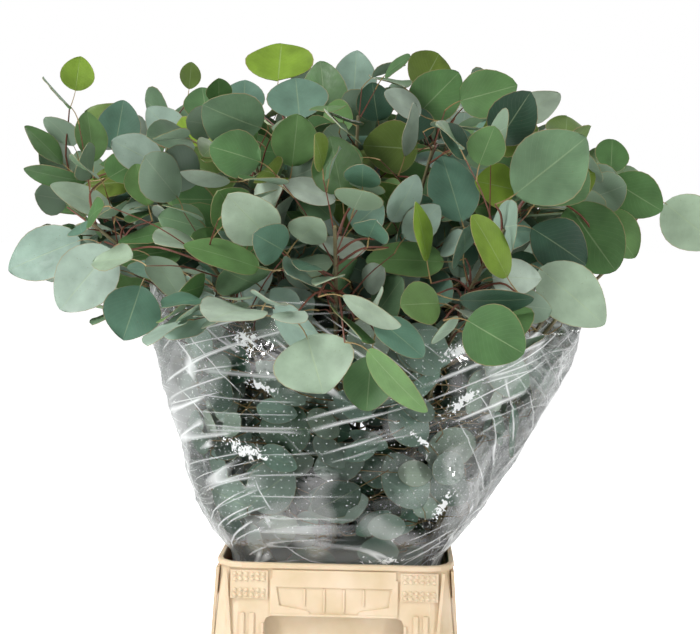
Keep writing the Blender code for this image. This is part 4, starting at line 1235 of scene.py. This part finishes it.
class Sheaf:
    """Collects one branch's fine mesh: points, faces, and for each face its skin, UV and tone."""

    def __init__(self):
        self.points, self.faces, self.skins, self.uvs, self.tones = [], [], [], [], []

    def add(self, points, faces, skin, uvs=None, tone=0.0):
        start = len(self.points)
        self.points += points
        self.tones += [tone] * len(points)
        for k, face in enumerate(faces):
            self.faces.append([start + i for i in face])
            self.skins.append(skin[k] if isinstance(skin, list) else skin)
            self.uvs += [uvs[i] if uvs else (0.5, 0.5) for i in face]

    def piece(self, name):
        mesh = bpy.data.meshes.new(name)
        mesh.from_pydata(self.points, [], self.faces)
        for skin in SKINS:
            mesh.materials.append(skin)
        mesh.polygons.foreach_set("material_index", self.skins)
        layer = mesh.uv_layers.new(name="leaf")
        layer.data.foreach_set("uv", [c for uv in self.uvs for c in uv])
        tone = mesh.attributes.new("tone", "FLOAT", "POINT")
        tone.data.foreach_set("value", self.tones)
        mesh.shade_smooth()
        mesh.set_sharp_from_angle(angle=math.radians(50))
        made = bpy.data.objects.new(name, mesh)
        bpy.context.collection.objects.link(made)
        return made


def smooth_half(share, low, power):
    """Half width of a round blade, as a share of its width."""
    if share <= 0 or share >= 1:
        return 0.012
    return 0.012 + 0.488 * math.sin(math.pi * share**low) ** power


def fine_leaf(sheaf, leaf, rows, columns, tone):
    """Adds a blade and its petiole."""
    low = looks.uniform(0.80, 1.0)
    power = looks.uniform(0.56, 0.70)
    wave = leaf["width"] * looks.uniform(0.0, 0.035)
    phase = looks.uniform(0, math.tau)
    twist = looks.uniform(-0.10, 0.10)
    thick = leaf["face"] * (FINE_THICK / 2)
    middle_line = []
    for share in rows:
        for column in columns:
            half = leaf["width"] * smooth_half(share, low, power) * column
            rise = leaf["fold"] * abs(half) - leaf["arch"] * leaf["length"] * share * share
            rise += wave * column * column * math.sin(9 * share + phase + column) + twist * half * share
            centre = leaf["base"] + leaf["along"] * (leaf["length"] * share)
            middle_line.append(centre + leaf["across"] * half + leaf["face"] * rise)
    wide, long = len(columns), len(rows)
    below = len(middle_line)
    points = [p + thick for p in middle_line] + [p - thick for p in middle_line]
    uvs = [((c + 1) / 2, share) for share in rows for c in columns] * 2
    top = []
    for a in (r * wide + c for r in range(long - 1) for c in range(wide - 1)):
        top += [(a, a + 1, a + wide + 1), (a, a + wide + 1, a + wide)]
    faces = top + [(i + below, k + below, j + below) for i, j, k in top]
    edge = [r * wide for r in range(long)] + [(long - 1) * wide + c for c in range(1, wide)]
    edge += [r * wide + wide - 1 for r in range(long - 2, -1, -1)] + list(range(wide - 2, 0, -1))
    faces += [(j, i, i + below, j + below) for i, j in zip(edge, edge[1:] + edge[:1])]
    skins = [UPPER] * len(top) + [UNDER] * len(top) + [UPPER] * len(edge)
    sheaf.add(points, faces, skins, uvs, tone)
    petiole(sheaf, leaf)


def petiole(sheaf, leaf):
    """A thin bent stalk from the twig to a little way up the blade's midrib."""
    root, base = leaf["root"], leaf["base"]
    inner = base + leaf["along"] * (leaf["length"] * 0.05)
    control = base - leaf["along"] * ((base - root).length * 0.45)
    curve = [root.lerp(control, t).lerp(control.lerp(inner, t), t) for t in (0, 0.3, 0.6, 0.85, 1)]
    radii = [PETIOLE_RADIUS * s for s in (1.25, 1.0, 0.9, 0.8, 0.5)]
    sheaf.add(*tube(curve, radii, 4, 0.3), PETIOLE)


# %% [markdown]
# Stems and twigs are tubes along smooth curves. All parts of one branch go into one mesh, which stands for
# that branch of the imported model. A leaf that doesn't lead takes its tone by chance from a short list: greens
# high in the crown, greyer ones lower down and behind the film, and near-black ones in the core as painted
# shade.

# %% Fine twigs and stems
def bent_tube(sheaf, points, radii, skin, sides, steps=4):
    """A tube along a smooth curve that passes through all the points."""
    line = [points[0] * 2 - points[1], *points, points[-1] * 2 - points[-2]]
    curve = []
    for a, b, c, d in zip(line, line[1:], line[2:], line[3:]):
        for k in range(steps):
            t = k / steps
            curve.append((b * 2 + (c - a) * t + (a * 2 - b * 5 + c * 4 - d) * t * t
                          + (b * 3 - a - c * 3 + d) * t**3) * 0.5)
    curve.append(points[-1])
    sizes = [between(*radii, k / (len(curve) - 1)) for k in range(len(curve))]
    sheaf.add(*tube(curve, sizes, sides, 0.2), skin)


FINE_STEM_RADIUS = (0.0046, 0.0019)
FINE_TWIG_RADIUS = (0.0016, 0.0009)
HIGH_TONES = ("green", "green", "green", "light", "moss", "moss", "green", "blue", "deep", "olive", "lime")
LOW_TONES = ("silver", "silver", "blue", "blue", "pale", "under", "moss", "green", "light", "deep")
LOW_LINE = 0.635
PRESSED_TONES = ("silver", "sage", "under", "sage", "dusk", "silver", "blue")
# Near-black tones for the leaves in the core: painted shade where the bunch's middle lies in shade
CORE_SHADE_TONES = ("painted_shade", "deep", "painted_shade")


def tone_of(leaf):
    """A leading leaf's own tone, or one by chance: greener in the crown, greyer low down and in the film."""
    choices = PRESSED_TONES if "pressed" in leaf else LOW_TONES if leaf["base"].z < LOW_LINE else HIGH_TONES
    # Leaves in the core take near-black tones: painted shade
    if leaf.get("core"):
        choices = CORE_SHADE_TONES
    name = LEADING_TONES.get(leaf.get("name")) or looks.choice(choices)
    return min(max(TONE_AT[name] + looks.uniform(-0.03, 0.03), 0), 1)


def fine_branch(number, stem):
    """The fine piece that stands for one packed branch."""
    sheaf = Sheaf()
    stops = [along_curve(stem["path"], k / STEM_SEGMENTS) for k in range(STEM_SEGMENTS + 1)]
    bent_tube(sheaf, stops, FINE_STEM_RADIUS, STEM, 7)
    for points in stem["twigs"]:
        bent_tube(sheaf, points, FINE_TWIG_RADIUS, TWIG, 5)
    for points in stem["fine_twigs"]:
        bent_tube(sheaf, points, FILL_TWIG_RADIUS, TWIG, 4, 3)
    for leaf in stem["leaves"]:
        rows, columns = (FRONT_ROWS, FRONT_COLUMNS) if "name" in leaf else (FILL_ROWS, FILL_COLUMNS)
        fine_leaf(sheaf, leaf, rows, columns, tone_of(leaf))
    for leaf in stem["filling"]:
        rows, columns = (CORE_ROWS, CORE_COLUMNS) if leaf.get("core") else (FILL_ROWS, FILL_COLUMNS)
        fine_leaf(sheaf, leaf, rows, columns, tone_of(leaf))
    piece = sheaf.piece(f"fine_branch_{number + 1:02d}")
    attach(piece, "root")
    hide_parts(f"branch_{number + 1:02d}")
    return len(sheaf.faces)


print(sum(fine_branch(number, stem) for number, stem in enumerate(plan)), "faces of foliage")

# %% [markdown]
# The sleeve is a flat tube of clear polypropylene film, pulled up round the bunch and gathered into the
# bucket. What the eye reads is not the film but its creases: sharp ridges that catch the lamps. The large
# ones are a fine mesh pushed in and out by ridged noise that is stretched along the pull. They are worked
# out here, without a cloth simulation, so that their slopes follow the picture.

# %% The film's creased form
FILM_SECTORS = 288
FILM_ROWS = 100
FILM_WALL = 0.0003
FILM_BACK = math.radians(90)
FILM_REACH = 0.25
CREASE_DEEP = 0.0060
CREASE_RISE = math.radians(19)
NECK_LINE = 0.2625
PROFILE_SOFT = 0.018


def film_profile(angle, height):
    """The sleeve's surface with its profile's corners eased, above the neck."""
    ease = min(PROFILE_SOFT, max(height - NECK_LINE, 0) * 0.5)
    return sum((sleeve_point(angle, height + ease * k / 2) for k in (-2, -1, 0, 1, 2)), Vector()) / 5


def sharp_fold(x, y, z, power):
    """Noise folded at zero and sharpened: narrow ridges between wide flat stretches, from 0 to 1."""
    return (1 - min(abs(noise.noise(Vector((x, y, z)))) * 2, 1)) ** power


def crease(angle, height):
    """How far the film is pushed out, from long slanted folds and fine pleats at the neck."""
    free = min(max((height - NECK_LINE) / 0.03, 0), 1)
    around = (angle - FILM_BACK - math.pi) * FILM_REACH
    along = around * math.cos(CREASE_RISE) + height * math.sin(CREASE_RISE)
    across = height * math.cos(CREASE_RISE) - around * math.sin(CREASE_RISE)
    long_folds = sharp_fold(along * 5, across * 22, 1.7, 5)
    short_folds = sharp_fold(along * 14, across * 55, 8.3, 4)
    level_folds = sharp_fold(around * 4, height * 40, 4.1, 5)
    pleats = sharp_fold(math.cos(angle) * 15, math.sin(angle) * 15, height * 5 + 4, 2)
    neck = max(1 - (height - NECK_LINE) / 0.10, 0)
    size = 0.45 * long_folds + 0.18 * short_folds + 0.3 * neck * level_folds + 0.35 * neck * pleats
    return CREASE_DEEP * free * size


def film_point(angle, height):
    outward = Vector((math.cos(angle), math.sin(angle), 0))
    return film_profile(angle, height) + outward * crease(angle, height)


def film_mesh():
    """One fine skin from the hem in the bucket up to the mouth, with its seam at the back."""
    points, faces, uvs = [], [], []
    hem = SLEEVE_STATIONS[0][0]
    for row in range(FILM_ROWS + 1):
        for k in range(FILM_SECTORS):
            angle = FILM_BACK + math.tau * k / FILM_SECTORS
            ragged = 0.004 * noise.noise(Vector((math.cos(angle) * 9, math.sin(angle) * 9, 1)))
            height = between(hem, sleeve_mouth(angle) + ragged, row / FILM_ROWS)
            points.append(film_point(angle, height))
    for row in range(FILM_ROWS):
        for k in range(FILM_SECTORS):
            low, high = row * FILM_SECTORS, (row + 1) * FILM_SECTORS
            j = (k + 1) % FILM_SECTORS
            faces.append((low + k, low + j, high + j, high + k))
            for i, at in ((k, low + k), (k + 1, low + j), (k + 1, high + j), (k, high + k)):
                uvs.append(((math.tau * i / FILM_SECTORS - math.pi) * FILM_REACH, points[at].z))
    mesh = bpy.data.meshes.new("film_sleeve")
    mesh.from_pydata(points, [], faces)
    layer = mesh.uv_layers.new(name="film")
    layer.data.foreach_set("uv", [c for uv in uvs for c in uv])
    mesh.shade_smooth()
    return mesh


# %% [markdown]
# The finest creases, lines and crumpled patches, are too many to model, so the film's material draws them on
# its own UV map, which is measured in metres round the sleeve and up it. The lines bump the film, and white
# lines and shards over them are painted highlights, with painted sheen in bands, at the sides, at the neck and
# at a slant. Between them the film is nearly invisible, and only shines at a slant.

# %% Clear polypropylene film
# Streaks bump the film and are drawn white as painted highlights
# Streaks: slope in degrees, waves per metre along and across, width, where they begin to show, strength
STREAKS = (
    (20, (1.6, 25), 0.024, (0.42, 0.54), 1.0), (14, (2.0, 42), 0.026, (0.48, 0.60), 0.8),
    (-38, (2.2, 28), 0.022, (0.50, 0.60), 0.9), (2, (1.5, 38), 0.024, (0.50, 0.62), 0.6),
)
# Patches of painted glints, as white shards: metres round from the front, height, half length, half width,
# slope in degrees. Those in front are set where the picture shows them
GLINT_PATCHES = (
    (-0.115, 0.512, 0.018, 0.014, 60), (-0.098, 0.463, 0.026, 0.005, -15), (-0.122, 0.390, 0.040, 0.010, -8),
    (0.120, 0.332, 0.024, 0.010, 45), (0.115, 0.452, 0.030, 0.009, 35), (0.098, 0.506, 0.030, 0.008, 20),
    (0.040, 0.264, 0.030, 0.005, 5), (0.190, 0.263, 0.034, 0.005, 0), (0.076, 0.408, 0.018, 0.004, -30),
    (0.330, 0.420, 0.034, 0.011, 20), (-0.340, 0.350, 0.030, 0.010, -30), (0.620, 0.400, 0.032, 0.010, 15),
)
# How much painted highlight and sheen the film has, drawn in white from 0 to 1: in its lines, in bands, at its
# sides, where it is gathered and at a slant. The last share is how much of that white lets light through
PAINTED_LINE_HIGHLIGHT = 0.75
PAINTED_BAND_SHEEN = 0.12
PAINTED_SIDE_SHEEN = 0.32
PAINTED_NECK_HIGHLIGHT = 0.16
PAINTED_SLANT_SHEEN = 0.16
THROUGH_SHARE = 0.3
# What is left out of the shine face on, so that dark gaps stay dark, and what crumpled film has more
FACE_ON = 0.042
CRUMPLE_SHINE = 0.16
BAND_SLOPE = 17
SIDE_SLOPE = 55
# Noise, in waves per metre: slow swells, crumpled areas, their crinkles, and painted glint shards of about 5 mm
SWELLS = 22.0
CRUMPLED = 13.0
CRINKLES = 110.0
GLINT_GRAIN = 190.0
STREAK_PATCHES = 8.0


def stretched_noise(tree, uv, turn, scales, detail):
    """Noise drawn out along a slope, in turns per metre along and across it."""
    turned = add_node(tree, "ShaderNodeMapping", {"Vector": uv, "Rotation": (0, 0, -math.radians(turn))})
    pulled = add_node(tree, "ShaderNodeMapping", {"Vector": turned.outputs[0], "Scale": (*scales, 1)})
    return noisy(tree, pulled.outputs[0], 1.0, detail, noise_dimensions="2D"), turned.outputs[0]


def streaks(tree, uv, turn, scales, width, patch, strength):
    """A mask of long thin lines at a slope, where drawn-out noise crosses its middle value."""
    field, turned = stretched_noise(tree, uv, turn, scales, 0.6)
    off_middle = reckon(tree, "ABSOLUTE", reckon(tree, "SUBTRACT", field, 0.5))
    shown = noisy(tree, turned, STREAK_PATCHES, 0.5, noise_dimensions="2D")
    return reckon(tree, "MULTIPLY", ranged(tree, off_middle, 0.0, width, strength, 0.0),
                  ranged(tree, shown, *patch, 0.0, 1.0))


def painted_glints(tree, uv, spot):
    """A mask of painted glints: white shards, thicker near the listed patches."""
    near = 0.0
    for across, height, half_long, half_short, turn in GLINT_PATCHES:
        local = add_node(tree, "ShaderNodeMapping", {
            "Vector": uv, "Location": (across, height, 0), "Rotation": (0, 0, math.radians(turn)),
            "Scale": (half_long, half_short, 1)}, vector_type="TEXTURE")
        reach = add_node(tree, "ShaderNodeVectorMath", {0: local.outputs[0]}, operation="LENGTH")
        near = reckon(tree, "MAXIMUM", ranged(tree, reach.outputs["Value"], 0.2, 1.3, 1.0, 0.0), near)
    glint_shards = add_node(tree, "ShaderNodeTexNoise", {"Vector": spot, "Scale": GLINT_GRAIN, "Detail": 2.5,
                                                   "Distortion": 1.2}).outputs["Fac"]
    raised = reckon(tree, "ADD", glint_shards, reckon(tree, "MULTIPLY", near, 0.32))
    return ranged(tree, raised, 0.70, 0.74, 0.0, 1.0)


def clear_film():
    """Clear cast polypropylene film: see-through face on, glossy at a slant, with white painted highlights and
    sheen along its creases.
    """
    material, tree = empty_material("clear polypropylene film")
    uv = add_node(tree, "ShaderNodeUVMap", uv_map="film").outputs[0]
    spot = add_node(tree, "ShaderNodeTexCoord").outputs["Object"]
    # Streak lines: they bump the film, and further down are drawn white as painted highlights
    streak_relief_and_highlight = 0.0
    for row in STREAKS:
        streak_relief_and_highlight = reckon(tree, "MAXIMUM", streaks(tree, uv, *row), streak_relief_and_highlight)
    # White shards of painted glints, near the listed patches
    glint_shards = painted_glints(tree, uv, spot)
    # Painted sheen in slanted bands, and more of it at the film's sides
    broad, _ = stretched_noise(tree, uv, BAND_SLOPE, (2.4, 19), 2.0)
    painted_band_sheen = ranged(tree, broad, 0.62, 0.74, 0.0, PAINTED_BAND_SHEEN)
    parts = add_node(tree, "ShaderNodeSeparateXYZ", {0: uv})
    # A painted highlight where the film is gathered at the neck
    painted_neck_highlight = ranged(tree, parts.outputs["Y"], NECK_LINE, NECK_LINE + 0.030, PAINTED_NECK_HIGHLIGHT, 0.0)
    aside = ranged(tree, reckon(tree, "ABSOLUTE", parts.outputs["X"]), 0.09, 0.22, 0.0, 1.0)
    steep, _ = stretched_noise(tree, uv, SIDE_SLOPE, (3.0, 13), 2.0)
    sheen = ranged(tree, steep, 0.47, 0.60, 0.0, PAINTED_SIDE_SHEEN)
    painted_band_sheen = reckon(tree, "MAXIMUM", painted_band_sheen, reckon(tree, "MULTIPLY", aside, sheen))
    crumpled = ranged(tree, noisy(tree, spot, CRUMPLED, 1.0), 0.58, 0.66, 0.0, 1.0)
    crinkle = add_node(tree, "ShaderNodeTexVoronoi", {"Vector": spot, "Scale": CRINKLES},
                       feature="DISTANCE_TO_EDGE")
    folded = reckon(tree, "MULTIPLY", crinkle.outputs["Distance"], crumpled)
    first = add_node(tree, "ShaderNodeBump", {"Strength": 0.35, "Distance": 0.004,
                                              "Height": noisy(tree, spot, SWELLS, 2.0)})
    second = add_node(tree, "ShaderNodeBump", {"Strength": 0.5, "Distance": 0.0012, "Height": streak_relief_and_highlight,
                                               "Normal": first.outputs[0]})
    third = add_node(tree, "ShaderNodeBump", {"Strength": 0.6, "Distance": 0.0030, "Height": folded,
                                              "Normal": second.outputs[0]})
    slant = add_node(tree, "ShaderNodeFresnel", {"IOR": POLYPROPYLENE_IOR, "Normal": first.outputs[0]})
    clear = add_node(tree, "ShaderNodeBsdfTransparent", {"Color": linear("#ffffff")})
    gloss = add_node(tree, "ShaderNodeBsdfGlossy", {"Color": (1, 1, 1, 1), "Roughness": 0.08,
                                                    "Normal": third.outputs[0]})
    shine = reckon(tree, "MAXIMUM", reckon(tree, "SUBTRACT", slant.outputs[0], FACE_ON), 0.0)
    shine = reckon(tree, "ADD", shine, reckon(tree, "MULTIPLY", crumpled, CRUMPLE_SHINE))
    body = add_node(tree, "ShaderNodeMixShader", {0: shine, 1: clear.outputs[0], 2: gloss.outputs[0]})
    front = add_node(tree, "ShaderNodeBsdfDiffuse", {"Color": linear("#fafcfc")})
    through = add_node(tree, "ShaderNodeBsdfTranslucent", {"Color": linear("#fafcfc")})
    # A white that the lamps light, laid over the film by the masks below as painted highlight and sheen
    white = add_node(tree, "ShaderNodeMixShader", {
        0: THROUGH_SHARE, 1: front.outputs[0], 2: through.outputs[0]})
    grazing = add_node(tree, "ShaderNodeLayerWeight", {"Blend": 0.25, "Normal": first.outputs[0]})
    # Painted sheen where the film is seen at a slant
    painted_slant_sheen = ranged(tree, grazing.outputs["Facing"], 0.50, 1.0, 0.0, PAINTED_SLANT_SHEEN)
    # White lines and glint shards: painted highlights
    painted_crease_highlight = reckon(tree, "MAXIMUM", reckon(tree, "MULTIPLY", streak_relief_and_highlight, PAINTED_LINE_HIGHLIGHT), glint_shards)
    # The share of painted highlight and sheen over the clear film
    painted_highlight_share = reckon(tree, "ADD", reckon(tree, "ADD", painted_slant_sheen, painted_band_sheen), reckon(tree, "MAXIMUM", painted_neck_highlight, painted_crease_highlight))
    film = add_node(tree, "ShaderNodeMixShader", {0: painted_highlight_share, 1: body.outputs[0], 2: white.outputs[0]})
    add_node(tree, "ShaderNodeOutputMaterial", {"Surface": film.outputs[0]})
    return material


def clear_inside():
    """The film's inner face, which lets everything through, so that each layer is seen once."""
    material, tree = empty_material("inner face of the clear film")
    clear = add_node(tree, "ShaderNodeBsdfTransparent", {"Color": linear("#fcfdfd")})
    add_node(tree, "ShaderNodeOutputMaterial", {"Surface": clear.outputs[0]})
    return material


film = bpy.data.objects.new("film_sleeve", film_mesh())
bpy.context.collection.objects.link(film)
film.data.materials.append(clear_film())
film.data.materials.append(clear_inside())
wall = film.modifiers.new("wall", "SOLIDIFY")
wall.thickness = FILM_WALL
wall.offset = -1
wall.material_offset = 1
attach(film, "root")
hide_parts("sleeve")
print(len(film.data.polygons), "faces of film")

# %% [markdown]
# The film is punched with rows of pinholes so that the leaves can breathe. Each pinhole has a thin raised rim
# that shows as a white dot. The dome tree from the collar sets a very small flat bead at each hole.

# %% Pinhole rims in the film
HOLE_PITCH = 0.0085
HOLE_BAND = (0.30, 0.53)
HOLE_RADIUS = 0.0006
RIM_HEIGHT_SHARE = 0.4
RIM_SIDES = 5


def pinholes():
    """Points in level rows round the sleeve, evenly spaced, with the film's outward direction."""
    points, normals = [], []
    rows = int((HOLE_BAND[1] - HOLE_BAND[0]) / HOLE_PITCH)
    for row in range(rows):
        height = HOLE_BAND[0] + row * HOLE_PITCH
        half_x, half_y, _ = sleeve_size(height)
        count = int(math.pi * (half_x + half_y) / HOLE_PITCH)
        for k in range(count):
            angle = math.tau * (k + 0.5 * (row % 2)) / count
            if height < sleeve_mouth(angle) - 0.01:
                points.append(film_point(angle, height))
                normals.append(Vector((math.cos(angle), math.sin(angle), -0.4)).normalized())
    return points, normals


def pinhole_white():
    """Whitened polypropylene at the rim of a punched hole."""
    material, tree = empty_material("whitened film rim")
    rim = add_node(tree, "ShaderNodeBsdfPrincipled", {
        "Base Color": linear("#eef2f2"), "Roughness": 0.35, "IOR": POLYPROPYLENE_IOR})
    add_node(tree, "ShaderNodeOutputMaterial", {"Surface": rim.outputs[0]})
    return material


rims = grown_domes(
    "film_pinholes", *pinholes(), pinhole_white(), HOLE_RADIUS, RIM_HEIGHT_SHARE, RIM_SIDES)
print(len(rims.data.polygons), "faces of pinhole rims")
